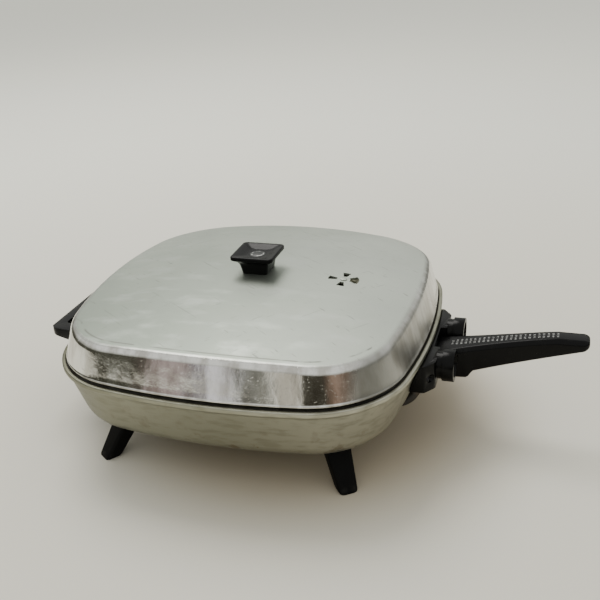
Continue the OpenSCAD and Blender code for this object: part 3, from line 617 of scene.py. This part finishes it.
rib_section = soften([(-rib_w / 2 - 0.6, floor_z + 1, 0), (-rib_w / 2, floor_z - rib_h, 1.6),
                      (rib_w / 2, floor_z - rib_h, 1.6), (rib_w / 2 + 0.6, floor_z + 1, 0)])
loop_line = bent(mirrored([((loop_half + exit_r, socket_y, 0), 0), ((loop_half, socket_y, 0), exit_r),
                           ((loop_half, loop_half, 0), loop_r), ((-loop_half, loop_half, 0), loop_r)]))
loop_line = wire_line("loop_line", [(p.x + pan_x, p.y, 0) for p in loop_line])
cast_parts = [pan, sweep_section("loop_rib", loop_line, rib_section, True, cast_metal)]
tube_rib = block((pan_x + rim_half - probe_in, -rib_w / 2, floor_z - rib_h),
                 (pan_x + rim_half - probe_in + tube_rib_l, rib_w / 2, floor_z + 1), 1.6)
handle_lug = block((pan_x + rim_half - lug_in, -lug_w, lug_z),
                   (pan_x + rim_half + lug_l, lug_w, lug_z + lug_h), 1.2)
helper_lug = block((pan_x - rim_half - helper_lug_l, -helper_lug_w, helper_lug_z),
                   (pan_x - rim_half + helper_lug_in, helper_lug_w, helper_lug_z + helper_lug_h), 0.8)
for rings in (tube_rib, handle_lug, helper_lug):
    cast_parts.append(new_piece("cast_part", *skin(rings), cast_metal))
for sx, sy in quarters:
    top, way = leg_line(sx, sy)
    boss = post(top - way * boss_in, top + way * boss_l, boss_r)
    cast_parts.append(new_piece("cast_part", *skin(boss), cast_metal))
pan = joined("pan_piece", cast_parts)
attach(pan, "skillet")
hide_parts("pan")

# ---------------------------------------------------------------- the heating element
# A steel sheath packed with insulation round a resistance wire, pressed into the pan's rib. Its
# two ends run out under the edge and up the wall to the terminals.

element_r = 3.5
element_gap = 0.4
element_z = floor_z - element_r - element_gap
end_way = edge_r + element_gap + element_r
cold_z = 61.5
cold_top = 72.9
cold_pin_r = 1.5


def lead_out(height):
    """Place along X, from the pan's middle, of an element's end at a height on the wall."""
    bow = side_r - math.sqrt(side_r ** 2 - socket_y ** 2)
    foot = rim_half - bow + outer_mid[0] + end_way / math.cos(wall_lean)
    return foot + (height - outer_mid[1]) * math.tan(wall_lean)


def sheath_pattern(graph, place):
    """Heat-tinted steel: straw and blue patches under a grey bloom, all painted dark for the shade it lies in
    under the pan.
    """
    tint = graph.noise(place, 0.018, detail=4.0)
    scale = graph.noise(place, 0.0012, detail=5.0)
    # Painted shade: the tint colours and the bloom are darkened for the shade under the pan
    heat_tint_painted_dark = graph.blend(graph.rise(tint, 0.35, 0.65), (0.13, 0.11, 0.09), (0.075, 0.078, 0.088))
    return {
        "Base Color": graph.blend(graph.rise(scale, 0.5, 0.7) * 0.6, heat_tint_painted_dark, (0.15, 0.14, 0.13)),
        "Roughness": 0.38 + 0.25 * scale,
        "Normal": graph.bump(scale, 0.00003),
    }


def steel_pattern(graph, place):
    """Plain turned steel with a few dull patches."""
    dull = graph.noise(place, 0.006, detail=4.0)
    fine = graph.noise(place, 0.0005, detail=2.0)
    return {
        "Base Color": graph.blend(dull, (0.58, 0.57, 0.55), (0.70, 0.70, 0.70)),
        "Roughness": 0.24 + 0.22 * dull + 0.05 * fine,
        "Normal": graph.bump(fine, 0.00001),
    }


sheath = paint("sheath", {"Metallic": 1.0}, sheath_pattern)
steel = paint("steel", {"Metallic": 1.0}, steel_pattern)

# Draws a round tube along a line
tubes, given = new_tree("tubes", {"Radius": "Float", "Sides": "Int", "Material": "Material"})
path = tubes.node("GeometryNodeMeshToCurve", {}, {"Mesh": given["Geometry"]})
bore = tubes.node("GeometryNodeCurvePrimitiveCircle", {}, {
    "Resolution": given["Sides"], "Radius": given["Radius"]})
drawn = tubes.node("GeometryNodeCurveToMesh", {}, {"Curve": path, "Profile Curve": bore, "Fill Caps": True})
tubes = close_tree(tubes, drawn, given["Material"])


def sheath_tube(name, points, radius):
    """A round piece of sheath through points that are given from the pan's middle."""
    line = wire_line(name + "_line", [(p[0] + pan_x, p[1], p[2]) for p in points])
    return baked(name, line, tubes, {"Radius": radius * mm, "Sides": 20, "Material": sheath})


element_line = bent(mirrored([
    ((lead_out(cold_z), socket_y, cold_z), 0), ((lead_out(element_z), socket_y, element_z), end_way),
    ((loop_half, socket_y, element_z), exit_r), ((loop_half, loop_half, element_z), loop_r),
    ((-loop_half, loop_half, element_z), loop_r)]), steps=10)
element_parts = [sheath_tube("heating_element", element_line, element_r)]
for sy in (-1, 1):
    ends = [(lead_out(z), sy * socket_y, z) for z in (cold_z - 2, cold_top)]
    element_parts.append(sheath_tube("cold_pin", ends, cold_pin_r))
element = joined("heating_element_piece", element_parts)
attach(element, "skillet")
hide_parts("heating_element")

# ---------------------------------------------------------------- the thermostat tube
# A drawn steel tube, closed at its inner end, that holds the heat control's probe against the
# pan's floor.


def dress(node, material, edge, body, sharp=40):
    """Puts a CAD node's own shape in its place, closed and with edge millimetres off its hard edges."""
    shape = bmesh.new()
    shape.from_mesh(frame["nodes"][node].data)
    bmesh.ops.remove_doubles(shape, verts=shape.verts, dist=2e-6)
    bmesh.ops.dissolve_limit(shape, angle_limit=math.radians(0.4), verts=shape.verts, edges=shape.edges)
    mesh = bpy.data.meshes.new(node)
    shape.to_mesh(mesh)
    shape.free()
    source = set_down(node + "_source", mesh)
    if edge:
        bevel = source.modifiers.new("edges", "BEVEL")
        bevel.width = edge * mm
        bevel.segments = 2
        bevel.limit_method = "ANGLE"
        bevel.angle_limit = math.radians(sharp)
    mesh = finished_mesh(source)
    mesh.materials.clear()
    mesh.materials.append(material)
    smooth(mesh, sharp)
    piece = set_down(node + "_piece", mesh)
    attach(piece, body)
    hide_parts(node)


dress("thermostat_tube", steel, 0.15, "skillet")

# ---------------------------------------------------------------- the terminal sockets
# One black moulding along the pan's side, with a round socket on each side of the handle. A
# ceramic bush, a plated pin and a brass connector sit in each; two small screws hold the plate.


def moulding_pattern(graph, place):
    """Moulded phenolic: near black, fine flow marks, a little dust and a shine from rubbing."""
    flow = graph.noise(place, 0.02, detail=3.0, stretch=(1, 3, 3))
    orange = graph.noise(place, 0.0016, detail=3.0)
    dust = graph.rise(graph.noise(place, 0.009, detail=7.0), 0.56, 0.78)
    return {
        "Base Color": graph.blend(dust * 0.3, (0.003, 0.003, 0.003), (0.016, 0.0155, 0.014)),
        "Roughness": 0.18 + 0.10 * flow + 0.22 * dust,
        "Normal": graph.bump(orange, 0.00003),
    }


def ceramic_pattern(graph, place):
    """Unglazed ceramic with fine specks."""
    speck = graph.noise(place, 0.0012, detail=5.0)
    return {
        "Base Color": graph.blend(speck, (0.78, 0.75, 0.68), (0.86, 0.84, 0.79)),
        "Roughness": 0.6 + 0.2 * speck,
    }


def plating_pattern(graph, place):
    """Nickel plate, dulled where contacts have slid over it."""
    wear = graph.noise(place, 0.002, detail=4.0)
    return {
        "Base Color": graph.blend(wear, (0.70, 0.69, 0.66), (0.84, 0.84, 0.84)),
        "Roughness": 0.12 + 0.2 * wear,
    }


def brass_pattern(graph, place):
    """Brass, partly tarnished brown."""
    tarnish = graph.noise(place, 0.004, detail=5.0)
    return {
        "Base Color": graph.blend(graph.rise(tarnish, 0.4, 0.7), (0.66, 0.50, 0.24), (0.36, 0.26, 0.13)),
        "Roughness": 0.25 + 0.3 * tarnish,
    }


moulding = paint("phenolic", {"Specular IOR Level": 0.12}, moulding_pattern)
ceramic = paint("ceramic", {}, ceramic_pattern)
plating = paint("pin_plating", {"Metallic": 1.0}, plating_pattern)
brass = paint("brass", {"Metallic": 1.0}, brass_pattern)

dress("socket_plate", moulding, 0.5, "skillet")
dress("terminal_bushes", ceramic, 0.2, "skillet")
dress("terminal_pins", plating, 0, "skillet")
dress("lead_connectors", brass, 0.3, "skillet")

# ---------------------------------------------------------------- the screws
# Steel screws with slotted cheese heads: two blued ones for the socket plate, two for each
# handle, one up into each leg's boss and one up through the lid into the knob.

# Stands copies of one screw on points, each turned to the point's own direction
screws, given = new_tree("screws", {"Screw": "Object", "Material": "Material"})
model = screws.node("GeometryNodeObjectInfo", {}, {"Object": given["Screw"]}, out="Geometry")
way = screws.node("GeometryNodeInputNamedAttribute", {"data_type": "FLOAT_VECTOR"}, {"Name": "way"})
turn = screws.node("FunctionNodeAlignRotationToVector", {"axis": "Z"}, {"Vector": way})
placed = screws.node("GeometryNodeInstanceOnPoints", {}, {
    "Points": given["Geometry"], "Instance": model, "Rotation": turn})
screws = close_tree(screws, placed, given["Material"])


def blued_pattern(graph, place):
    """Blued steel, nearly black."""
    wear = graph.noise(place, 0.002, detail=4.0)
    return {
        "Base Color": graph.blend(graph.rise(wear, 0.55, 0.75), (0.03, 0.03, 0.035), (0.14, 0.14, 0.14)),
        "Roughness": 0.35 + 0.2 * wear,
    }


blued_steel = paint("blued_steel", {"Metallic": 1.0}, blued_pattern)
slot_half, slot_deep = 0.45, 0.7


def screw_group(node, seats, screw, length, body="skillet", metal=steel):
    """Screws whose heads seat at the given points and whose shanks run along the given ways."""
    radius, head_r, head_h = screw
    section = ((head_r - 0.5, -head_h), (head_r - 0.15, -head_h + 0.12), (head_r, -head_h + 0.5),
               (head_r, 0), (radius, 0), (radius, length - 0.4), (radius - 0.4, length))
    rings = [circle(r, 32, z) for r, z in section]
    model = new_piece("screw_model", *skin(rings), steel)
    slot = new_piece("slot_cut", *skin(block((-head_r - 1, -slot_half, -head_h - 1),
                                             (head_r + 1, slot_half, slot_deep - head_h), 0.1)), steel)
    cut = model.modifiers.new("slot", "BOOLEAN")
    cut.object = slot
    cut.solver = "EXACT"
    points = bpy.data.meshes.new("seats")
    points.from_pydata([Vector(seat) * mm for seat, _ in seats], [], [])
    ways = points.attributes.new("way", "FLOAT_VECTOR", "POINT")
    ways.data.foreach_set("vector", [c for _, way in seats for c in way])
    source = set_down("seats", points)
    piece = baked(node + "_piece", source, screws, {"Screw": model, "Material": metal})
    bpy.data.objects.remove(model)
    bpy.data.objects.remove(slot)
    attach(piece, body)
    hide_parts(node)


up = Vector((0, 0, 1))
# Radius of the shank, then radius and height of the head
big_screw = (2.0, 3.8, 2.4)
small_screw = (1.6, 3.0, 1.8)
socket_shank, handle_shank, helper_shank, leg_shank, knob_shank = 7.9, 10.9, 6.4, 12.4, 11.1
leg_seat = 14


def end_places(low, high, screw):
    """Where along a row the first and the last head have their middles."""
    return low + screw[1], high - screw[1]


low, high = span("socket_screws")
seats = [((high.x - small_screw[2], y, (low.z + high.z) / 2), (-1, 0, 0))
         for y in end_places(low.y, high.y, small_screw)]
screw_group("socket_screws", seats, small_screw, socket_shank, metal=blued_steel)
low, high = span("handle_screws")
seats = [((x, 0, low.z + big_screw[2]), up) for x in end_places(low.x, high.x, big_screw)]
screw_group("handle_screws", seats, big_screw, handle_shank)
low, high = span("helper_screws")
seats = [(((low.x + high.x) / 2, y, low.z + small_screw[2]), up)
         for y in end_places(low.y, high.y, small_screw)]
screw_group("helper_screws", seats, small_screw, helper_shank)
seats = []
for sx, sy in quarters:
    top, way = leg_line(sx, sy)
    seats.append((top + way * leg_seat, -way))
screw_group("leg_screws", seats, big_screw, leg_shank)
low, high = span("knob_screw")
screw_group("knob_screw", [((pan_x, 0, low.z + big_screw[2]), up)], big_screw, knob_shank, body="cover")

# ---------------------------------------------------------------- the long handle
# Moulded phenolic: a square root block on the cast lug, a rising grip that narrows to a blunt
# tip, and on its top a printed guide of plain numbers.

handle_low, handle_high = span("long_handle")
handle_x = handle_low.x
handle_l = handle_high.x - handle_low.x
handle_w_root = handle_high.y
handle_w_tip = 9
handle_top = 72
handle_rise = 17.6
block_z = handle_low.z
block_l = 24.5
step_l = 6
neck_h = 21.5
tip_h = 7.4
tip_r = 5


def handle_over(x):
    """Height of the handle's top at a distance from its root."""
    share = min(1, x / (0.8 * handle_l))
    return handle_top + handle_rise * (1 - (1 - share) ** 1.15)


def handle_under(x):
    """Height of its underside: level under the root block, then straight up to the tip."""
    start = block_l + step_l
    neck = handle_over(start) - neck_h
    tip = handle_over(handle_l) - tip_h
    if x < block_l:
        return block_z
    if x < start:
        share = (x - block_l) / step_l
        return block_z + (neck - block_z) * share * share * (3 - 2 * share)
    return neck + (tip - neck) * (x - start) / (handle_l - start)


def handle_half(x):
    """Half of its width there."""
    return handle_w_tip + (handle_w_root - handle_w_tip) * (1 - x / handle_l) ** 2.7


def handle_ring(x, cut):
    """A section with a flat top, a chamfer along each top edge and slightly drawn-in sides."""
    half = handle_half(x) - cut
    over = handle_over(x) - 0.5 * cut
    under = handle_under(x) + 0.5 * cut
    tall = over - under
    slope = min(2.6, 0.3 * half)
    drop = min(3.4, 0.32 * tall)
    draw = min(0.9, 0.05 * tall)
    right = soften([(0, under, 0), (half - draw, under, min(1.6, 0.25 * tall)), (half, over - drop, 0.9),
                    (half - slope, over, 1.1), (0, over, 0)], 3)
    left = [Vector((-p.x, p.y)) for p in reversed(right[1:-1])]
    return [(handle_x + x, p.x, p.y) for p in right + left]


last = handle_l - tip_r
grip_rings = 60
rings = [handle_ring(x, cut) for x, cut in ((0, 0.5), (0.15, 0.2), (0.5, 0))]
rings += [handle_ring(0.5 + (last - 0.5) * k / grip_rings, 0) for k in range(1, grip_rings + 1)]
rings += [handle_ring(last + tip_r * math.sin(a), tip_r * (1 - math.cos(a)))
          for a in [math.radians(9 * k) for k in range(1, 11)]]
long_handle = new_piece("long_handle_piece", *skin(rings), moulding, sharp=50)
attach(long_handle, "skillet")
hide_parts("long_handle")


def print_pattern(graph, place):
    """White printing, thinned by rubbing in places."""
    rubbed_and_painted_light = graph.rise(graph.noise(place, 0.006, detail=5.0), 0.45, 0.75)
    return {"Base Color": graph.blend(rubbed_and_painted_light * 0.6, (0.62, 0.62, 0.60), (0.12, 0.12, 0.12))}


print_ink = paint("print_ink", {"Roughness": 0.6}, print_pattern)
print_size = 2.1
print_from = 13
print_pitch = 3.45
print_rows = 24
print_thick = 0.06
print_half = 6.6
print_margin = 3.4


def handle_print():
    """Rows of plain numbers across the handle's top, each a thin layer that follows it."""
    corners, faces = [], []
    for row in range(print_rows):
        heat = 150 + 25 * (row % 12)
        words = bpy.data.curves.new("row", "FONT")
        words.body = f"{heat}  {2 + row % 5} {5 * (1 + row % 9)}"
        words.size = print_size
        words.align_x = "CENTER"
        words.extrude = print_thick
        words.resolution_u = 1
        text = bpy.data.objects.new("row", words)
        mesh = bpy.data.meshes.new_from_object(text)
        x = print_from + row * print_pitch
        squeeze = min(1, (handle_half(x) - print_margin) / print_half)
        base = len(corners)
        for v in mesh.vertices:
            far = x - v.co.y
            corners.append((handle_x + far, v.co.x * squeeze, handle_over(far) + v.co.z))
        faces += [tuple(base + i for i in face.vertices) for face in mesh.polygons]
        bpy.data.objects.remove(text)
        bpy.data.curves.remove(words)
    return new_piece("handle_print", corners, faces, print_ink)


guide = handle_print()
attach(guide, "skillet")

# ---------------------------------------------------------------- the helper handle
# A flat phenolic loop on the other side, with two finger slots and a web between them, held
# from below by two small screws.

dress("helper_handle", moulding, 0.9, "skillet")

# ---------------------------------------------------------------- the legs
# Four tapered feet of unpolished phenolic that splay out from under the pan's corners. Each
# sits over its own cast boss and is held by one screw, deep in a hole from below.


def leg_pattern(graph, place):
    """Unpolished phenolic, dull and a little dusty near the table."""
    grain = graph.noise(place, 0.0012, detail=5.0)
    low_down = 1 - graph.rise(graph.part(place, "Z"), 0.001, 0.012)
    scuffed = graph.rise(graph.noise(place, 0.007, detail=6.0), 0.5, 0.7) * low_down
    return {
        "Base Color": graph.blend(scuffed * 0.5, (0.0035, 0.0035, 0.0035), (0.03, 0.028, 0.024)),
        "Roughness": 0.5 + 0.15 * grain,
        "Normal": graph.bump(grain, 0.00005),
    }


leg_black = paint("leg_phenolic", {"Specular IOR Level": 0.08}, leg_pattern)
leg_w, foot_w = 21, 14.5
leg_d, foot_d = 17, 14
leg_turn = math.atan2(foot_y - leg_y, foot_x - leg_x)
leg_round = 3.2


def leg_ring(z, cut, sx, sy):
    """A leg's section at a height, drawn in by cut and turned out to the pan's corner."""
    share = z / floor_z
    depth = foot_d + (leg_d - foot_d) * share - 2 * cut
    width = foot_w + (leg_w - foot_w) * share - 2 * cut
    x = foot_x + (leg_x - foot_x) * share
    y = foot_y + (leg_y - foot_y) * share
    turn = Matrix.Rotation(leg_turn, 2)
    ring = [turn @ p for p in round_box(depth / 2, width / 2, leg_round, 8)]
    ring = [(pan_x + sx * (x + p.x), sy * (y + p.y), z) for p in ring]
    return ring if sx * sy > 0 else ring[::-1]


# Heights up a leg, and how far its softened foot is drawn in there
leg_levels = ((0, 1.3), (0.15, 0.8), (0.5, 0.4), (1.2, 0.1), (2.2, 0), (8, 0), (16, 0), (25, 0), (floor_z, 0))
for sx, sy in quarters:
    name = "leg_" + ("front_" if sy < 0 else "back_") + ("left" if sx < 0 else "right")
    rings = [leg_ring(z, cut, sx, sy) for z, cut in leg_levels]
    leg = new_piece(name + "_piece", *skin(rings), leg_black)
    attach(leg, "skillet")
    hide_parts(name)

# ---------------------------------------------------------------- the lid
# Pressed aluminium: a shallow domed top with a rubbed satin face, a polished side, a rolled
# bead at its foot and a skirt that drops into the pan's seat. The vent's windows are punched.

bead_in = 3.8
bead_w = 0.8
bead_z = rim_z + 1.2
bead_h = 2.4
lid_t = 1.4
shoulder_in = 11.4
shoulder_r = 5.5
crown_z = 125.5
crown_rise = 11
crown_k = (rim_half - shoulder_in) ** 2 / crown_rise
wall_z = bead_z + bead_h + 0.5
wall_in = bead_in + bead_w
skirt_in = rim_t + 3.5


def crown(p, drop=0):
    """A point of the lid's crown over a point of its plan."""
    return Vector((p.x, p.y, crown_z - drop - ((p.x - pan_x) ** 2 + p.y ** 2) / crown_k))


def level(out, z):
    """A level ring, out from the rim's own outline."""
    return [Vector((p.x, p.y, z)) for p in outline(out)]


def crown_ring(share, drop):
    """A ring on the crown, a share of the way from its middle to its edge."""
    return [crown(Vector((pan_x + (p.x - pan_x) * share, p.y * share)), drop) for p in outline(-shoulder_in)]


def shoulder_ring(t, inset, size):
    """A ring of the round between the side, at t = 0, and the crown, at t = 1."""
    ring = []
    middle = Vector((pan_x, 0))
    for foot, edge in zip(outline(-wall_in - inset), outline(-shoulder_in - inset)):
        foot = Vector((foot.x, foot.y, wall_z))
        peak = crown(edge, inset)
        start = peak.lerp(foot, size / (foot - peak).length)
        stop = crown(edge + (middle - edge).normalized() * size, inset)
        ring.append(start.lerp(peak, t).lerp(peak.lerp(stop, t), t))
    return ring


inner_shoulder_r = shoulder_r - 0.6 * lid_t
inner_shares = [0.02, 0.06] + [0.1 + 0.05 * k for k in range(15)]
shares = inner_shares + [0.85, 0.9, 0.932, 0.940, 0.947, 0.954]
lid_rings = [crown_ring(share, lid_t) for share in inner_shares]
lid_rings += [shoulder_ring(1 - k / 8, lid_t, inner_shoulder_r) for k in range(9)]
lid_rings += [level(-wall_in - lid_t, wall_z), level(-skirt_in - lid_t, bead_z - 1),
              level(-skirt_in - lid_t, seat_z + 0.3), level(-skirt_in - lid_t + 0.3, seat_z + 0.1)]
skirt_from = len(lid_rings)
lid_rings += [level(-skirt_in - 0.3, seat_z + 0.1), level(-skirt_in, seat_z + 0.3), level(-skirt_in, bead_z)]
bead_mid = (-bead_in - bead_h / 2, bead_z + bead_h / 2)
lid_rings += [level(x, z) for x, z, _ in arc(bead_mid, bead_h / 2, -math.pi / 2, math.radians(52), 9)]
side_ends = list(zip(level(-wall_in, wall_z + 0.1), shoulder_ring(0, 0, shoulder_r)))
lid_rings += [[a.lerp(b, k / 6) for a, b in side_ends] for k in range(6)]
shoulder_from = len(lid_rings)
lid_rings += [shoulder_ring(k / 16, 0, shoulder_r) for k in range(17)]
lid_rings += [crown_ring(share, 0) for share in reversed(shares)]


def lid_pattern(graph, place):
    """Rubbed satin with fine scratches on the top, painted darker towards the left and front and lighter
    towards the right and back; a smeared polish on the side, rougher at the right and with painted shade on
    the right face.
    """
    side = graph.mark("side")
    cloud = graph.noise(place, 0.045, detail=5.0)
    rub = graph.rise(graph.noise(place, 0.030, detail=7.0, stretch=(1, 2.2, 1)), 0.48, 0.75)
    fine = graph.noise(place, 0.0007, detail=3.0)
    smear = graph.noise(place, 0.010, detail=4.0, stretch=(1, 1, 0.25))
    dent = graph.noise(place, 0.016, detail=3.0)
    crease = graph.mark("crease") * graph.rise(graph.noise(place, 0.02, detail=5.0), 0.42, 0.55)
    swirl = graph.node("ShaderNodeMapping", {}, {"Vector": place, "Rotation": (0, 0, 0.6)})
    other = graph.node("ShaderNodeMapping", {}, {"Vector": place, "Rotation": (0, 0, -0.9)})
    scratch = graph.noise(swirl, 0.0016, detail=1.0, stretch=(0.03, 1, 1))
    second = graph.noise(other, 0.0013, detail=1.0, stretch=(0.02, 1, 1))
    lines = graph.rise(scratch, 0.70, 0.76) + graph.rise(second, 0.72, 0.78)
    to_back = graph.part(place, "Y")
    to_right = graph.rise(graph.part(place, "X"), -0.10, 0.09)
    # Painted light: the top is darker towards the left and front and lighter towards the right and back; the
    # cloud adds random tone
    cloud_and_painted_light = 0.25 * cloud + 0.6 * to_right + 0.4 * graph.rise(to_back, -0.12, 0.13)
    satin = graph.blend(cloud_and_painted_light, (0.22, 0.25, 0.21), (0.53, 0.56, 0.50))
    rubbed_and_painted_light = graph.blend(rub * 0.2, satin, (0.60, 0.62, 0.59))
    top = graph.blend(lines * 0.4 + crease * 0.8, rubbed_and_painted_light, (0.12, 0.12, 0.105))
    dull = graph.rise(graph.along(place, (1, -0.2, 0)), 0.080, 0.098)
    polish = graph.blend(graph.rise(smear, 0.35, 0.65), (0.50, 0.48, 0.44), (0.76, 0.75, 0.72))
    # Painted shade: the polished side is painted darker on its right face, most towards the front
    painted_shade_right = dull * (0.8 - 0.5 * graph.rise(to_back, -0.11, -0.07))
    bright = graph.blend(painted_shade_right, polish, (0.20, 0.20, 0.18))
    top_rough = 0.46 + 0.12 * cloud - 0.07 * rub
    side_rough = 0.05 + 0.09 * smear + 0.28 * dull
    relief = fine * 0.4 + lines * 0.5 + cloud * 2 + smear * side * 1.5 + dent * side * 3.5
    return {
        "Base Color": graph.blend(side, top, bright),
        "Roughness": top_rough * (1 - side) + side_rough * side,
        "Normal": graph.bump(relief, 0.00006),
    }


lid_metal = paint("sheet_aluminium", {"Metallic": 1.0}, lid_pattern)
lid = new_piece("lid_source", *skin(lid_rings), lid_metal, sharp=50)
# The polish runs from the skirt's foot up the side and fades over the shoulder. A worn line lies
# just inside that, along the front only.
polish_to = shoulder_from + 9
fade_over = 6
worn_ring = shoulder_from + 18
worn_to_y = -90
polished, worn = [], []
for j, ring in enumerate(lid_rings):
    share = 0 if j < skirt_from else min(1, max(0, 1 - (j - polish_to) / fade_over))
    polished += [share] * len(ring)
    worn += [float(j == worn_ring and p.y < worn_to_y) for p in ring]
lid.data.attributes.new("side", "FLOAT", "POINT").data.foreach_set("value", polished)
lid.data.attributes.new("crease", "FLOAT", "POINT").data.foreach_set("value", worn)

vent_joint = next(joint for joint in frame["joints"] if joint["name"] == "vent_turn")
vent_at = Vector(vent_joint["pos_m"]) / mm
vent_turn = Matrix.Rotation(math.atan2(vent_joint["axis"][0], vent_joint["axis"][2]), 3, "Y")
vent_in, vent_out = 5.3, 12.5
punch_reach = 4
# Degrees of each window's middle and of its width
windows = [(90, 30), (180, 30), (270, 30), (9.5, 63)]


def window_cutters():
    """Punches for the vent's windows, each a part of a ring."""
    points, faces = [], []
    for middle, wide in windows:
        low, high = math.radians(middle - wide / 2), math.radians(middle + wide / 2)
        steps = max(4, int(wide / 6))
        plan = arc((0, 0), vent_out, low, high, steps) + arc((0, 0), vent_in, high, low, steps)
        rings = [[vent_at + vent_turn @ Vector((x, y, z)) for x, y, _ in plan]
                 for z in (-punch_reach, punch_reach)]
        more, round_it = skin(rings)
        faces += [tuple(len(points) + i for i in face) for face in round_it]
        points += more
    return new_piece("punches", points, faces, lid_metal)


def punched(name, source, cutter):
    """A mesh with the cutter's solids taken out of it."""
    cut = source.modifiers.new("cut", "BOOLEAN")
    cut.object = cutter
    cut.solver = "EXACT"
    mesh = finished_mesh(source)
    bpy.data.objects.remove(cutter)
    smooth(mesh, 50)
    return set_down(name, mesh)


lid = punched("lid_piece", lid, window_cutters())
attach(lid, "cover")
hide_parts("lid")

# ---------------------------------------------------------------- the knob
# A square phenolic knob on a narrower neck, dished on top round a plain turned metal disc, and
# screwed up from inside the lid over a washer.

knob_low, knob_high = span("knob")
knob_half = (knob_high.x - knob_low.x) / 2
knob_h = knob_high.z - crown_z
knob_neck = 10.8
disc_r = 6.6
neck_top = 0.5 * knob_h
# Half width, corner radius and height of each ring, up the outside and down into the dish
knob_sides = [
    (knob_neck - 0.3, 2.4, 0), (knob_neck, 2.6, 0.4), (knob_neck + 0.25, 2.6, 2.2),
    (knob_neck + 0.6, 2.6, 0.5 * neck_top), (knob_neck + 1.05, 2.7, 0.75 * neck_top),
    (knob_neck + 1.6, 2.8, neck_top), (knob_neck + 2.3, 2.9, neck_top + 1.3),
    (knob_neck + 3.2, 3, neck_top + 2.4), (knob_half - 2, 3.4, knob_h - 4),
    (knob_half - 0.8, 3.5, knob_h - 3.6), (knob_half - 0.2, 3.6, knob_h - 3.1),
    (knob_half, 3.6, knob_h - 2.5), (knob_half, 3.6, knob_h - 0.8),
    (knob_half - 0.2, 3.6, knob_h - 0.25), (knob_half - 0.7, 3.5, knob_h),
    (knob_half - 1.4, 3.3, knob_h - 0.03), (knob_half - 2.2, 3.1, knob_h - 0.2),
    (13.4, 3, knob_h - 0.9), (10.8, 3.2, knob_h - 1.8),
    (disc_r + 2.2, 4, knob_h - 2.45), (disc_r + 0.8, 5.4, knob_h - 2.6),
    (disc_r + 0.15, 6.7, knob_h - 2.65), (disc_r + 0.1, 6.7, knob_h - 3.8),
]
rings = [[(pan_x + p.x, p.y, crown_z + z) for p in round_box(half, half, corner, 8)]
         for half, corner, z in knob_sides]
knob = new_piece("knob_piece", *skin(rings), moulding, sharp=50)
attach(knob, "cover")
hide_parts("knob")


def disc_pattern(graph, place):
    """Turned metal under dark lacquer, with one bare ring, worn in places."""
    centred = graph.node("ShaderNodeMapping", {}, {"Vector": place, "Location": (-pan_x * mm, 0, 0)})
    flat = graph.node("ShaderNodeVectorMath", {"operation": "MULTIPLY"}, {0: centred, 1: (1, 1, 0)})
    far = graph.far(flat)
    tool_marks = graph.node("ShaderNodeMath", {"operation": "SINE"}, {0: far * 16000.0})
    worn = graph.noise(place, 0.003, detail=5.0)
    ring = graph.rise(far, 0.0043, 0.0045) * (1 - graph.rise(far, 0.0052, 0.0054))
    bare = ring * graph.rise(worn, 0.46, 0.56)
    return {
        "Base Color": graph.blend(bare, (0.012, 0.014, 0.013), (0.70, 0.70, 0.68)),
        "Metallic": bare,
        "Roughness": 0.22 + 0.2 * worn,
        "Normal": graph.bump(tool_marks * 0.5 + worn, 0.00002),
    }


disc_metal = paint("turned_disc", {}, disc_pattern)
dress("knob_disc", disc_metal, 0.25, "cover")
dress("knob_washer", steel, 0.15, "cover")

# ---------------------------------------------------------------- the steam vent
# A stamped aluminium shutter under the lid, turned by its tab through the long window. A rivet
# holds it over a spring washer.


def shutter_pattern(graph, place):
    """Aluminium under a dark film of old fat."""
    film = graph.noise(place, 0.004, detail=5.0)
    return {
        "Base Color": graph.blend(graph.rise(film, 0.4, 0.7), (0.16, 0.155, 0.11), (0.08, 0.078, 0.05)),
        "Roughness": 0.35 + 0.25 * film,
    }


shutter_metal = paint("shutter_aluminium", {"Metallic": 1.0}, shutter_pattern)
dress("vent_shutter", shutter_metal, 0.1, "shutter")
dress("vent_rivet", lid_metal, 0.25, "cover")
dress("vent_washer", steel, 0.1, "cover")
